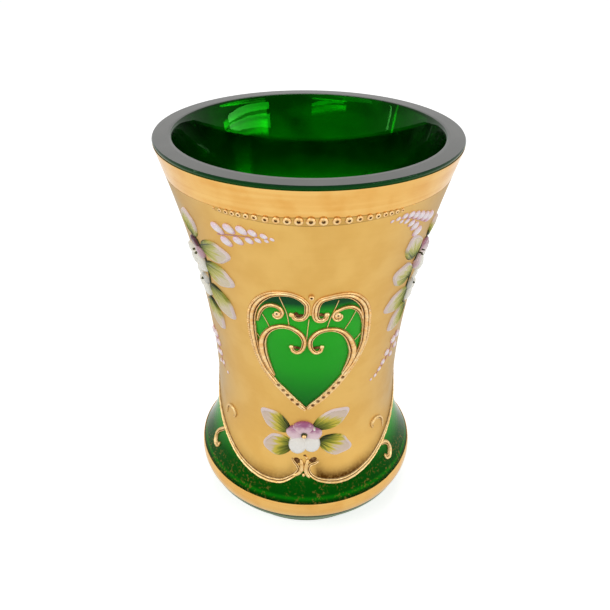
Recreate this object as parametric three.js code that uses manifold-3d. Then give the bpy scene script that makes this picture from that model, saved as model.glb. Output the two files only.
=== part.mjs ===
// A gilded green glass vase with raised gold scrolls and modelled enamel flowers.
// Millimetres, +Z up. The origin is on the axis, at the middle of the face that the vase rests on.
// The front, with its heart window, faces -Y. The back repeats the front.

import * as THREE from "three";
import { mergeVertices } from "three/addons/utils/BufferGeometryUtils.js";
import Module from "manifold-3d";

const wasm = await Module();
wasm.setup();

// Blown body
const HEIGHT = 162;
const RIM_RADIUS = 54.8;
const RIM_WALL = 6.8;
const RIM_BEVEL = 0.5;
const WAIST_HEIGHT = 60;
const WAIST_RADIUS = 37.6;
const WAIST_WALL = 5.6;
const FLARE_POWER = 1.82;
const SKIRT_POWER = 2.4;
const FOOT_TOP_HEIGHT = 21.6;
const FOOT_TOP_RADIUS = 47.1;
const FOOT_BULGE = 0.9;
const FOOT_ROLL_HEIGHT = 12.4;
const FOOT_ROLL_RADIUS = 46.0;
const UNDERCUT_POWER = 1.4;
const BASE_RADIUS = 37.8;
const BASE_BEVEL = 0.6;
const FLOOR_HEIGHT = 24;
const FLOOR_ROUNDING = 9;
const HOLLOW_RADIUS = 26;
const HOLLOW_DEPTH = 1.5;

// Gilding
const GOLD_GAP = 0.1;
const GOLD_THICKNESS = 0.2;
const RIM_BAND_TOP_DROP = 1.6;
const RIM_BAND_WIDTH = 9.8;
const FOOT_BAND_EDGE = 0.4;
const JOIN_GAP = 0.3;
const ARCH_HEIGHT = 61.5;
const FLEUR_BASE_HEIGHT = 34;
const RIM_BAND = { low: HEIGHT - RIM_BAND_TOP_DROP - RIM_BAND_WIDTH, high: HEIGHT - RIM_BAND_TOP_DROP };
const FOOT_BAND = { low: FOOT_ROLL_HEIGHT + FOOT_BAND_EDGE, high: FOOT_TOP_HEIGHT - FOOT_BAND_EDGE };
const FIELD_TOP = RIM_BAND.low - JOIN_GAP;

// Raised gold and enamel rest a hair above the gilding. Their heights are shares of their widths.
const SEAT_GAP = 0.2;
const SEAT = GOLD_GAP + GOLD_THICKNESS + SEAT_GAP;
const LINE_SECTION = [[-1, 0], [1, 0], [0.6, 0.9], [-0.6, 0.9]];
const LINE_HEIGHT_RATIO = 0.42;
const STEM_HEIGHT_RATIO = 0.5;
const LEAF_TAPER = 0.32;
const CUTTER_REACH = 10;

// Roundness of the turned and of the modelled pieces
const TURNED_SEGMENTS = 36;
const EDGE_SEGMENTS = 72;
const PETAL_SIDES = 8;
const PETAL_RINGS = 4;
const BUD_SIDES = 5;
const BUD_RINGS = 3;
const SIDES_PER_PETAL = 4;
const FLOWER_RINGS = 4;

// The ornament is drawn on a flat sheet: across, in millimetres of arc at ART_RADIUS, then height.
// It is stretched between the foot and the rim band, and wrapped on the body.
const ART_RADIUS = 40;
const ART_LOW = 21.6;
const ART_HIGH = 150.6;

// Bead row under the rim band
const BEADS_PER_SIDE = 11;
const BEAD_PITCH = 2.2;
const BEAD_PITCH_LOSS = 0.02;
const BEAD_LARGE = 2.4;
const BEAD_SMALL = 0.9;
const BEAD_NECK = 0.45;
const BEAD_HEIGHT_RATIO = 0.5;
const NOTCH_BEAD = [0.9, 119.2, 2.2];

// Scroll lines: across, height, width. Each is drawn for the right-hand side.
const OUTER_HEART = [
  [5.4, 111.0, 1.3], [5.0, 108.9, 1.5], [3.2, 108.2, 1.7], [1.8, 109.7, 1.8], [1.4, 112.4, 1.9],
  [1.8, 115.1, 2.0], [3.2, 117.4, 2.1], [5.6, 119.0, 2.2], [8.6, 119.6, 2.4], [12.0, 119.0, 2.6],
  [15.3, 117.0, 2.9], [17.9, 113.8, 3.2], [19.7, 109.4, 3.4], [20.7, 104.0, 3.5], [20.9, 99.0, 3.4],
  [20.3, 94.0, 3.1], [18.9, 89.0, 2.8], [16.8, 84.0, 2.6], [14.2, 79.6, 2.6], [11.0, 75.0, 2.6],
  [7.0, 70.4, 2.4], [3.3, 66.4, 2.0], [1.6, 64.9, 1.4],
];
const LOBE_CURL = [
  [19.3, 108.5, 0.9], [18.0, 112.0, 1.1], [15.7, 113.9, 1.4], [12.8, 114.4, 1.5], [10.3, 113.6, 1.4],
  [8.9, 111.8, 1.3], [8.9, 109.7, 1.2], [10.2, 108.6, 1.1], [11.3, 109.6, 1.0],
];
const INNER_HEART = [
  [5.2, 95.6, 1.2], [5.1, 94.0, 1.4], [3.9, 92.9, 1.6], [2.2, 93.9, 1.9], [1.4, 96.3, 2.0],
  [1.5, 99.0, 2.0], [2.5, 101.8, 2.0], [4.8, 103.9, 1.9], [7.7, 104.7, 1.8], [10.6, 104.1, 1.8],
  [13.2, 102.2, 1.8], [15.1, 99.2, 1.8], [16.1, 95.6, 1.8], [16.2, 91.6, 1.7], [15.6, 87.6, 1.5],
  [14.6, 84.6, 0.8],
];
const TONGUE_CURL = [[5.2, 39.4, 0.9], [4.2, 38.3, 1.2], [2.7, 37.7, 1.3], [1.8, 36.5, 1.3]];
const TONGUE_EDGE = [
  [1.9, 35.2, 1.3], [3.2, 33.2, 1.5], [5.6, 31.4, 1.7], [9.0, 30.1, 1.9], [13.0, 29.6, 2.0],
  [17.5, 29.9, 2.0], [22.0, 31.0, 2.0], [28.0, 33.1, 2.0], [34.0, 36.0, 2.0], [40.0, 39.3, 2.0],
  [46.0, 42.8, 1.9], [52.0, 46.6, 1.8], [57.5, 51.6, 1.5], [60.3, 56.5, 1.2], [61.4, 61.5, 1.0],
  [61.7, 67.0, 0.6],
];
const FOOT_CURL = {
  left: [
    [40.6, 39.3, 1.6], [43.3, 37.2, 1.6], [46.0, 35.0, 1.6], [46.9, 32.0, 1.5], [45.4, 29.6, 1.4],
    [43.3, 29.7, 1.2], [42.9, 31.4, 1.0],
  ],
  right: [
    [35.0, 36.1, 1.6], [37.6, 35.6, 1.6], [40.0, 33.8, 1.6], [40.6, 31.0, 1.5], [39.0, 28.7, 1.4],
    [37.1, 28.9, 1.2], [36.8, 30.6, 1.0],
  ],
};
const FIELD_CURL = {
  left: [
    [41.4, 47.4, 0.6], [41.0, 50.6, 1.1], [38.8, 52.9, 1.4], [35.9, 53.0, 1.4], [34.5, 51.2, 1.3],
    [35.3, 49.0, 1.0],
  ],
  right: [
    [39.0, 43.2, 0.6], [39.0, 46.8, 1.1], [36.8, 49.7, 1.4], [33.4, 50.6, 1.4], [31.2, 49.2, 1.3],
    [31.9, 46.9, 1.0],
  ],
};
const FLEUR = [[0, 33.6, 1.9], [0, 35.2, 1.0], [0, 37.4, 0.9], [0, 39.4, 1.4], [0, 41.4, 1.6]];
const CURVE_STEPS = {
  outer: 32, lobe: 10, inner: 25, tongue: 30, foot: 8, field: 7, fleur: 6, leafStem: 7, budStem: 4,
};

// Heart window in the gilding, drawn for the right-hand side from the tip to the notch
const HEART_WINDOW = [
  [0.0, 64.6], [5.0, 69.6], [9.6, 75.0], [12.8, 80.0], [15.0, 85.0], [16.5, 90.5], [17.6, 94.2],
  [19.9, 97.0], [20.6, 103.0], [19.6, 109.2], [17.8, 113.6], [15.2, 116.8], [12.0, 118.8],
  [8.6, 119.4], [5.6, 118.8], [3.3, 117.2], [1.9, 115.1], [1.4, 112.4], [1.2, 110.4], [0.0, 109.4],
];

// Spray flowers: petals, how deep a seam cuts between them, and the bead in the middle
const PETALS = 5;
const PETAL_NOTCH = 0.24;
const PETAL_DIP = 0.4;
const EYE_SIZE_RATIO = 0.5;
const EYE_HEIGHT_RATIO = 1.25;

// Bud sprigs. Places along the stem are shares of its length, and sizes are shares of the largest bud.
const FIRST_BUD = 0.12;
const BUD_SPAN = 0.82;
const BUD_STAGGER = 0.1;
const BUD_SHRINK = 0.68;
const BUD_INSET = 0.1;
const BUD_LENGTH = 1.15;
const BUD_WIDTH = 0.95;
const BUD_HEIGHT = 0.42;
const TIP_BUD = 0.34;
const TIP_BUD_HEIGHT = 0.2;
const SPRIG_STEM_WIDTH = 0.9;

// Flower under the heart. A petal or leaf is its foot, its tip, its width and its height.
const UPPER_PETALS = [
  [[-0.7, 50.2], [-0.9, 58.4], 8.8, 2.0],
  [[1.4, 52.2], [-8.3, 52.8], 6.2, 1.8],
  [[-2.8, 52.2], [6.8, 52.8], 6.2, 1.8],
];
const LOWER_PETALS = [
  [[-2.6, 50.2], [-5.2, 42.3], 7.2, 2.3],
  [[0.9, 50.4], [3.9, 43.4], 6.6, 2.2],
];
const FLOWER_BEAD = [-0.7, 51.0, 2.0, 2.6];
const FLOWER_LEAVES = {
  upper_left: [[-8.9, 54.2], [-19.4, 61.4], 8.0, 0.8],
  upper_right: [[3.9, 57.0], [18.7, 62.6], 8.2, 0.8],
  lower_left: [[-8.2, 47.6], [-18.6, 42.8], 8.6, 0.8],
  lower_right: [[7.4, 49.0], [19.2, 42.4], 8.6, 0.8],
};

// Side sprays, each drawn with its own side as positive
const SPRAYS = {
  left: {
    side: -1,
    flowers: [[44.6, 124.2, 7.9, 3.2], [45.4, 112.6, 6.6, 2.7]],
    stem: [[41.8, 134.2, 0.9], [37.2, 131.6, 1.0], [35.4, 126.4, 1.2], [35.9, 120.0, 1.2],
      [37.0, 114.0, 1.2], [38.4, 108.4, 1.2], [42.4, 104.2, 1.0], [45.4, 102.6, 0.8]],
    leaves: [
      [[41.2, 132.6], [51.0, 146.4], 8.0, 0.9],
      [[37.2, 129.2], [24.0, 131.0], 8.0, 0.9],
      [[36.2, 123.8], [25.8, 118.2], 8.0, 0.9],
      [[38.2, 112.2], [28.0, 103.6], 8.2, 0.9],
      [[43.0, 105.0], [36.6, 93.6], 7.6, 0.9],
    ],
    sprigs: {
      upper: { root: [31.0, 138.0], tip: [9.0, 142.4], pairs: 5, bud: 3.7 },
      lower: { root: [47.6, 89.6], tip: [38.2, 69.0], pairs: 4, bud: 3.2 },
    },
  },
  right: {
    side: 1,
    flowers: [[49.2, 121.0, 7.9, 3.2], [48.0, 109.4, 6.6, 2.7]],
    stem: [[46.6, 131.2, 0.9], [41.6, 128.8, 1.0], [39.9, 123.6, 1.2], [40.0, 117.0, 1.2],
      [39.8, 111.0, 1.2], [40.6, 105.2, 1.2], [43.6, 100.6, 1.0], [46.6, 98.8, 0.8]],
    leaves: [
      [[46.0, 129.6], [56.0, 142.6], 8.0, 0.9],
      [[41.4, 125.6], [32.2, 135.0], 7.8, 0.9],
      [[40.9, 117.2], [28.4, 123.4], 8.2, 0.9],
      [[40.8, 110.0], [29.2, 105.2], 8.2, 0.9],
      [[43.2, 102.6], [34.2, 94.0], 7.8, 0.9],
    ],
    sprigs: {
      upper: { root: [42.0, 137.6], tip: [22.2, 147.0], pairs: 5, bud: 3.4 },
      lower: { root: [43.4, 89.8], tip: [28.8, 71.8], pairs: 4, bud: 3.2 },
    },
  },
};

const FINISH = {
  glass: { color: 0x1f7a2a, roughness: 0.08, metalness: 0 },
  burnishedGold: { color: 0xf0bd6e, roughness: 0.22, metalness: 1 },
  matteGold: { color: 0xe0b25d, roughness: 0.55, metalness: 1 },
  raisedGold: { color: 0xecc384, roughness: 0.35, metalness: 1 },
  lilacEnamel: { color: 0xc08cb8, roughness: 0.3, metalness: 0 },
  whiteEnamel: { color: 0xf2f0ea, roughness: 0.3, metalness: 0 },
  leafEnamel: { color: 0xa9b56a, roughness: 0.35, metalness: 0 },
  budEnamel: { color: 0xe3c6da, roughness: 0.3, metalness: 0 },
};

function smoothstep(t) {
  return t * t * (3 - 2 * t);
}

// Outside of the glass at a height: undercut base, foot roll, flaring skirt, then the bell
function outerRadius(z) {
  if (z >= WAIST_HEIGHT) {
    const rise = (z - WAIST_HEIGHT) / (HEIGHT - WAIST_HEIGHT);
    return WAIST_RADIUS + (RIM_RADIUS - WAIST_RADIUS) * rise ** FLARE_POWER;
  }
  if (z >= FOOT_TOP_HEIGHT) {
    const fall = (WAIST_HEIGHT - z) / (WAIST_HEIGHT - FOOT_TOP_HEIGHT);
    return WAIST_RADIUS + (FOOT_TOP_RADIUS - WAIST_RADIUS) * fall ** SKIRT_POWER;
  }
  if (z >= FOOT_ROLL_HEIGHT) {
    const rise = (z - FOOT_ROLL_HEIGHT) / (FOOT_TOP_HEIGHT - FOOT_ROLL_HEIGHT);
    const straight = FOOT_ROLL_RADIUS + (FOOT_TOP_RADIUS - FOOT_ROLL_RADIUS) * rise;
    return straight + FOOT_BULGE * Math.sin(Math.PI * rise);
  }
  const rise = smoothstep(Math.max(z, 0) / FOOT_ROLL_HEIGHT) ** UNDERCUT_POWER;
  return BASE_RADIUS + (FOOT_ROLL_RADIUS - BASE_RADIUS) * rise;
}

function innerRadius(z) {
  const rise = THREE.MathUtils.clamp((z - WAIST_HEIGHT) / (HEIGHT - WAIST_HEIGHT), 0, 1);
  const wall = WAIST_WALL + (RIM_WALL - WAIST_WALL) * rise;
  return outerRadius(Math.max(z, WAIST_HEIGHT)) - wall;
}

function heights(low, high, count) {
  return Array.from({ length: count + 1 }, (_, i) => low + ((high - low) * i) / count);
}

// Height on the body of a height on the flat drawing of the ornament
function artHeight(z) {
  return FOOT_TOP_HEIGHT + ((z - ART_LOW) * (RIM_BAND.low - FOOT_TOP_HEIGHT)) / (ART_HIGH - ART_LOW);
}

function onBody(across, z, off) {
  const angle = across / ART_RADIUS;
  const radius = outerRadius(z) + off;
  return new THREE.Vector3(radius * Math.sin(angle), -radius * Math.cos(angle), z);
}

function moveVertices(geometry, place) {
  const position = geometry.getAttribute("position");
  const point = new THREE.Vector3();
  for (let i = 0; i < position.count; i += 1) {
    const moved = place(point.fromBufferAttribute(position, i).clone());
    position.setXYZ(i, moved.x, moved.y, moved.z);
  }
  return geometry;
}

function welded(geometry) {
  const bare = geometry.clone();
  bare.deleteAttribute("normal");
  bare.deleteAttribute("uv");
  return mergeVertices(bare, 1e-4);
}

function toSolid(geometry) {
  const closed = welded(geometry);
  const index = closed.getIndex().array;
  const corners = [];
  for (let i = 0; i < index.length; i += 3) {
    const [a, b, c] = [index[i], index[i + 1], index[i + 2]];
    if (a !== b && b !== c && c !== a) corners.push(a, b, c);
  }
  const mesh = new wasm.Mesh({
    numProp: 3,
    vertProperties: new Float32Array(closed.getAttribute("position").array),
    triVerts: new Uint32Array(corners),
  });
  return new wasm.Manifold(mesh);
}

function toGeometry(solid) {
  const mesh = solid.getMesh();
  const geometry = new THREE.BufferGeometry();
  geometry.setAttribute("position", new THREE.BufferAttribute(mesh.vertProperties, 3));
  geometry.setIndex(new THREE.BufferAttribute(mesh.triVerts, 1));
  geometry.computeVertexNormals();
  return geometry;
}

function joined(geometries) {
  return geometries.map(toSolid).reduce((whole, piece) => whole.add(piece));
}

function lathe(profile, segments = TURNED_SEGMENTS) {
  const points = profile.map(([radius, z]) => new THREE.Vector2(radius, z));
  return new THREE.LatheGeometry(points, segments).rotateX(Math.PI / 2);
}

// Heights where the outside of the body has a ring of corners. The gilding shares them.
function bodyLevels() {
  return [
    BASE_BEVEL,
    ...heights(FOOT_ROLL_HEIGHT / 3, FOOT_ROLL_HEIGHT, 2),
    ...heights(FOOT_BAND.low, FOOT_BAND.high, 3),
    ...heights(FOOT_TOP_HEIGHT, WAIST_HEIGHT, 7),
    ...heights(WAIST_HEIGHT, FIELD_TOP, 7).slice(1),
    RIM_BAND.low,
    RIM_BAND.high,
    HEIGHT - RIM_BEVEL,
  ];
}

function glassBody() {
  const underside = [
    [0, HOLLOW_DEPTH],
    [HOLLOW_RADIUS - HOLLOW_DEPTH, HOLLOW_DEPTH],
    [HOLLOW_RADIUS, 0],
    [BASE_RADIUS - BASE_BEVEL, 0],
  ];
  const outside = bodyLevels().map((z) => [outerRadius(z), z]);
  const rim = [
    [RIM_RADIUS - RIM_BEVEL, HEIGHT],
    [RIM_RADIUS - RIM_WALL, HEIGHT],
  ];
  const floorTop = FLOOR_HEIGHT + FLOOR_ROUNDING;
  const inside = heights(floorTop, HEIGHT, 6).slice(0, -1).reverse().map((z) => [innerRadius(z), z]);
  const floorRadius = innerRadius(floorTop);
  const rounding = [Math.PI / 6, Math.PI / 3, Math.PI / 2].map((turn) => [
    floorRadius - FLOOR_ROUNDING * (1 - Math.cos(turn)),
    floorTop - FLOOR_ROUNDING * Math.sin(turn),
  ]);
  return lathe([...underside, ...outside, ...rim, ...inside, ...rounding, [0, FLOOR_HEIGHT]]);
}

// Thin gilding that follows the outside of the glass between two heights
function skin(low, high) {
  const levels = bodyLevels().filter((z) => z >= low && z <= high);
  const outer = levels.map((z) => [outerRadius(z) + GOLD_GAP + GOLD_THICKNESS, z]);
  const inner = levels.map((z) => [outerRadius(z) + GOLD_GAP, z]).reverse();
  return lathe([...outer, ...inner, outer[0]]);
}

function lineCurve(points) {
  return new THREE.CatmullRomCurve3(points.map((p) => new THREE.Vector3(...p)), false, "centripetal");
}

// Lower edge of the gilding: two tongues, front and back, with a green arch between them
function goldEdge(angle) {
  const folded = Math.abs(((angle + Math.PI / 2) % Math.PI) - Math.PI / 2);
  const across = folded * ART_RADIUS;
  const edge = TONGUE_EDGE;
  if (across <= edge[0][0]) return artHeight(FLEUR_BASE_HEIGHT);
  const next = edge.findIndex((point) => point[0] >= across);
  if (next < 1) return artHeight(ARCH_HEIGHT);
  const [a, b] = [edge[next - 1], edge[next]];
  const height = a[1] + ((b[1] - a[1]) * (across - a[0])) / (b[0] - a[0]);
  return artHeight(Math.min(height, ARCH_HEIGHT));
}

// Ring that takes the gilding away below its lower edge
function footCutter() {
  const low = FOOT_TOP_HEIGHT - CUTTER_REACH;
  const inner = WAIST_RADIUS - CUTTER_REACH;
  const outer = FOOT_TOP_RADIUS + CUTTER_REACH;
  const profile = [[inner, low], [outer, low], [outer, HEIGHT], [inner, HEIGHT], [inner, low]];
  return moveVertices(lathe(profile, EDGE_SEGMENTS), (p) => {
    const angle = Math.atan2(p.x, -p.y) + 2 * Math.PI;
    return p.z > HEIGHT / 2 ? p.setZ(goldEdge(angle)) : p;
  });
}

// Plug that cuts the heart window
function heartCutter() {
  const left = HEART_WINDOW.slice(1, -1).map(([across, z]) => [-across, z]).reverse();
  const outline = [...HEART_WINDOW, ...left].map(([across, z]) => new THREE.Vector2(across, z));
  const settings = { depth: 2 * CUTTER_REACH, bevelEnabled: false };
  const plug = new THREE.ExtrudeGeometry(new THREE.Shape(outline), settings);
  return moveVertices(plug, (p) => onBody(p.x, artHeight(p.y), p.z - CUTTER_REACH));
}

function goldField() {
  const shell = toSolid(skin(FOOT_TOP_HEIGHT, FIELD_TOP));
  const window = toSolid(heartCutter());
  const field = shell.subtract(toSolid(footCutter())).subtract(window).subtract(window.rotate([0, 0, 180]));
  return toGeometry(field);
}

// A straight bar with a domed section, cut in equal steps, to be laid along a path
function lineBar(steps) {
  const corners = LINE_SECTION.map(([x, y]) => new THREE.Vector2(x, y));
  return new THREE.ExtrudeGeometry(new THREE.Shape(corners), { steps, depth: 1, bevelEnabled: false });
}

// Where a point of the bar lies on the body, for a path's place, direction and width
function laidPoint(p, at, along, ratio) {
  const half = (p.x * at.z) / 2;
  return onBody(at.x - along.y * half, artHeight(at.y + along.x * half), SEAT + p.y * at.z * ratio);
}

// A raised line along a smooth drawn path
function raisedLine(path, steps, side = 1, ratio = LINE_HEIGHT_RATIO) {
  const curve = lineCurve(path.map(([across, z, width]) => [side * across, z, width]));
  return moveVertices(lineBar(steps), (p) => {
    const t = THREE.MathUtils.clamp(p.z, 0, 1);
    return laidPoint(p, curve.getPointAt(t), curve.getTangentAt(t).setZ(0).normalize(), ratio);
  });
}

// A raised line that runs level through each of its stations
function stationLine(stations, ratio) {
  const level = new THREE.Vector3(1, 0, 0);
  return moveVertices(lineBar(stations.length - 1), (p) => {
    const station = stations[Math.round(p.z * (stations.length - 1))];
    return laidPoint(p, new THREE.Vector3(...station), level, ratio);
  });
}

// A raised oval with a flat underside: narrow at its foot, full towards its tip
function raisedOval(foot, tip, width, height, taper = 0, sides = PETAL_SIDES, rings = PETAL_RINGS) {
  const [along, rise] = [tip[0] - foot[0], tip[1] - foot[1]];
  const length = Math.hypot(along, rise);
  const [ux, uz] = [along / length, rise / length];
  const middle = [(foot[0] + tip[0]) / 2, (foot[1] + tip[1]) / 2];
  return moveVertices(new THREE.SphereGeometry(1, sides, rings), (p) => {
    const forward = (p.x * length) / 2;
    const aside = (p.z * (1 + taper * p.x) * width) / 2;
    const across = middle[0] + ux * forward + uz * aside;
    const level = middle[1] + uz * forward - ux * aside;
    return onBody(across, artHeight(level), SEAT + Math.max(p.y, 0) * height);
  });
}

function bead(across, z, size, height) {
  const foot = [across - size / 2, z];
  return raisedOval(foot, [across + size / 2, z], size, height, 0, BUD_SIDES, BUD_RINGS);
}

function mirrored([foot, tip, width, height], side) {
  return [[side * foot[0], foot[1]], [side * tip[0], tip[1]], width, height];
}

// One line that swells into a bead at each place, largest in the middle
function beadRow() {
  const top = ART_HIGH - JOIN_GAP;
  const stations = [];
  for (let i = -BEADS_PER_SIDE; i <= BEADS_PER_SIDE; i += 1) {
    const across = i * (BEAD_PITCH - BEAD_PITCH_LOSS * Math.abs(i));
    const size = BEAD_LARGE + ((BEAD_SMALL - BEAD_LARGE) * Math.abs(i)) / BEADS_PER_SIDE;
    const neck = size * BEAD_NECK;
    const level = top - size / 2;
    stations.push([across - size / 2, level, neck], [across, level, size], [across + size / 2, level, neck]);
  }
  return stationLine(stations, BEAD_HEIGHT_RATIO);
}

function outerHeart(side) {
  const band = raisedLine(OUTER_HEART, CURVE_STEPS.outer, side);
  return toGeometry(joined([band, raisedLine(LOBE_CURL, CURVE_STEPS.lobe, side)]));
}

function tongueScroll(side, footCurl) {
  const edge = raisedLine([...TONGUE_CURL, ...TONGUE_EDGE], CURVE_STEPS.tongue, side);
  return toGeometry(joined([edge, raisedLine(footCurl, CURVE_STEPS.foot, side)]));
}

function upperPetals() {
  const [across, z, size, height] = FLOWER_BEAD;
  const clear = bead(across, z, size + 2 * JOIN_GAP, height + 2 * JOIN_GAP);
  const grown = LOWER_PETALS.map(([foot, tip, width, tall]) => {
    const shift = [tip[0], tip[1] - JOIN_GAP];
    return raisedOval([foot[0], foot[1] + JOIN_GAP], shift, width + 2 * JOIN_GAP, tall + JOIN_GAP);
  });
  const petals = joined(UPPER_PETALS.map((petal) => raisedOval(...petal)));
  return toGeometry(petals.subtract(joined([clear, ...grown])));
}

function lowerPetals() {
  const [across, z, size, height] = FLOWER_BEAD;
  const clear = bead(across, z, size + 2 * JOIN_GAP, height + 2 * JOIN_GAP);
  return toGeometry(joined(LOWER_PETALS.map((petal) => raisedOval(...petal))).subtract(toSolid(clear)));
}

// Five rounded petals round a small bead, with a dip along each seam
function sprayFlower([across, z, radius, height], side) {
  const blossom = new THREE.SphereGeometry(1, PETALS * SIDES_PER_PETAL, FLOWER_RINGS);
  moveVertices(blossom, (p) => {
    const turn = Math.atan2(p.z, p.x);
    const seam = 1 - Math.abs(Math.cos((PETALS * turn) / 2));
    const spread = radius * (1 - PETAL_NOTCH * seam);
    const lift = Math.max(p.y, 0) * (1 - PETAL_DIP * seam * Math.hypot(p.x, p.z));
    return onBody(side * across + p.z * spread, artHeight(z + p.x * spread), SEAT + lift * height);
  });
  return [blossom, bead(side * across, z, radius * EYE_SIZE_RATIO, height * EYE_HEIGHT_RATIO)];
}

function sprayFlowers({ flowers, side }) {
  return toGeometry(joined(flowers.flatMap((flower) => sprayFlower(flower, side))));
}

function sprayLeaves({ stem, leaves, side }) {
  const ovals = leaves.map((leaf) => raisedOval(...mirrored(leaf, side), LEAF_TAPER));
  return toGeometry(joined([raisedLine(stem, CURVE_STEPS.leafStem, side, STEM_HEIGHT_RATIO), ...ovals]));
}

// Buds in pairs along a stem, shrinking towards its tip
function budSprig({ root, tip, pairs, bud: largest }, side) {
  const [along, rise] = [side * (tip[0] - root[0]), tip[1] - root[1]];
  const length = Math.hypot(along, rise);
  const [ux, uz] = [along / length, rise / length];
  const place = (t, aside) => [side * root[0] + along * t - uz * aside, root[1] + rise * t + ux * aside];
  const buds = heights(0, pairs - 1, pairs - 1).flatMap((i) => {
    const t = FIRST_BUD + (BUD_SPAN * i) / pairs;
    const size = largest * (1 - BUD_SHRINK * t);
    return [1, -1].map((row) => {
      const at = t - (row * BUD_STAGGER) / pairs;
      const foot = place(at, row * BUD_INSET);
      const end = place(at, row * size * BUD_LENGTH);
      return raisedOval(foot, end, size * BUD_WIDTH, size * BUD_HEIGHT, 0, BUD_SIDES, BUD_RINGS);
    });
  });
  const stem = heights(0, 1, 3).map((t) => [...place(t, 0), SPRIG_STEM_WIDTH]);
  const last = bead(...place(1, 0), largest * TIP_BUD, largest * TIP_BUD_HEIGHT);
  return toGeometry(joined([raisedLine(stem, CURVE_STEPS.budStem, 1, STEM_HEIGHT_RATIO), ...buds, last]));
}

function named(name, geometry, finish) {
  const mesh = new THREE.Mesh(geometry, new THREE.MeshStandardMaterial(finish));
  mesh.name = name;
  return mesh;
}

function scrollwork(face) {
  const pieces = [
    named(`${face}_bead_row`, beadRow(), FINISH.raisedGold),
    named(`${face}_notch_bead`, bead(...NOTCH_BEAD, NOTCH_BEAD[2] / 2), FINISH.raisedGold),
    named(`${face}_fleur_stem`, raisedLine(FLEUR, CURVE_STEPS.fleur), FINISH.raisedGold),
  ];
  for (const [hand, side] of [["left", -1], ["right", 1]]) {
    const inner = raisedLine(INNER_HEART, CURVE_STEPS.inner, side);
    const field = raisedLine(FIELD_CURL[hand], CURVE_STEPS.field, side);
    pieces.push(
      named(`${face}_outer_heart_scroll_${hand}`, outerHeart(side), FINISH.raisedGold),
      named(`${face}_inner_heart_scroll_${hand}`, inner, FINISH.raisedGold),
      named(`${face}_tongue_scroll_${hand}`, tongueScroll(side, FOOT_CURL[hand]), FINISH.raisedGold),
      named(`${face}_field_curl_${hand}`, field, FINISH.raisedGold),
    );
  }
  return pieces;
}

function heartFlower(face) {
  const leaves = Object.entries(FLOWER_LEAVES).map(([place, leaf]) =>
    named(`${face}_leaf_${place}`, raisedOval(...leaf, LEAF_TAPER), FINISH.leafEnamel));
  return [
    named(`${face}_flower_upper_petals`, upperPetals(), FINISH.lilacEnamel),
    named(`${face}_flower_lower_petals`, lowerPetals(), FINISH.whiteEnamel),
    named(`${face}_flower_bead`, bead(...FLOWER_BEAD), FINISH.raisedGold),
    ...leaves,
  ];
}

function spray(face, hand) {
  const drawn = SPRAYS[hand];
  const name = `${face}_${hand}_spray`;
  return [
    named(`${name}_flowers`, sprayFlowers(drawn), FINISH.whiteEnamel),
    named(`${name}_leaves`, sprayLeaves(drawn), FINISH.leafEnamel),
    named(`${name}_lilac_buds`, budSprig(drawn.sprigs.upper, drawn.side), FINISH.budEnamel),
    named(`${name}_pink_buds`, budSprig(drawn.sprigs.lower, drawn.side), FINISH.budEnamel),
  ];
}

function decoratedFace(face, turn) {
  const group = new THREE.Group();
  group.add(...scrollwork(face), ...heartFlower(face), ...spray(face, "left"), ...spray(face, "right"));
  group.rotation.z = turn;
  return group;
}

function gildedBody() {
  return [
    named("glass_body", glassBody(), FINISH.glass),
    named("rim_gold_band", skin(RIM_BAND.low, RIM_BAND.high), FINISH.burnishedGold),
    named("gold_field", goldField(), FINISH.matteGold),
    named("foot_gold_band", skin(FOOT_BAND.low, FOOT_BAND.high), FINISH.burnishedGold),
  ];
}

const vase = new THREE.Group();
vase.add(...gildedBody(), decoratedFace("front", 0), decoratedFace("back", Math.PI));

export default vase;
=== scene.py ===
"""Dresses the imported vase: green glass, gilding, raised gold scrolls and modelled enamel flowers.

The ornament is drawn on a flat sheet, in millimetres: across, as arc at a radius of 40, then height.
It is wrapped on the body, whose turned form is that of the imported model. The front faces -Y, and the
back repeats it. The lines of one side of a face are drawn with that side as positive, apart from the
hairlines, lobe beads and lobe eyes, which are drawn as they are seen. Sizes are in millimetres, and
corners become metres when they are wrapped.
"""

import logging
import math
from collections.abc import Sequence
from dataclasses import dataclass, replace
from enum import Enum

import bmesh
import bpy
import numpy as np
from mathutils import Matrix, Vector
from mathutils.geometry import delaunay_2d_cdt


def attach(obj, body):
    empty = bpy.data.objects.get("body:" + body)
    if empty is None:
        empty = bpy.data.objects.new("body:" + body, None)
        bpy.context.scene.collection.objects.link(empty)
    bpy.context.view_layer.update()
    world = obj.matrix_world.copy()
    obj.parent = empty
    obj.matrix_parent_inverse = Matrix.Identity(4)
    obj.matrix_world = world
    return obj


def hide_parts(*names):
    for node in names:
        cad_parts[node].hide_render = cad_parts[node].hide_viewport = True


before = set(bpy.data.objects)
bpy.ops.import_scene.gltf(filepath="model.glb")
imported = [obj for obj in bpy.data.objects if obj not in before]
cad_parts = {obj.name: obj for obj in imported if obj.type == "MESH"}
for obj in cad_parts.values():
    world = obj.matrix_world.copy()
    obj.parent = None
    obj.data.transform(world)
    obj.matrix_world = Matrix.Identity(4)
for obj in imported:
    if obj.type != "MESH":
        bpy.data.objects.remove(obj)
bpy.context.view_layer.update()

LOG = logging.getLogger("vase")
MM = 0.001
BODY = "root"

Array = np.ndarray
Colour = tuple[float, float, float]
Point = tuple[float, float]
Station = tuple[float, float, float]
Path = tuple[Station, ...]
Node = bpy.types.Node
Socket = bpy.types.NodeSocket
Feeds = dict[str | int, object]


def portion(low: float, high: float, x: Array | float) -> Array:
    """How far values have come from low to high, from 0 to 1."""
    return np.clip((np.asarray(x, float) - low) / (high - low), 0, 1)


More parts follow.
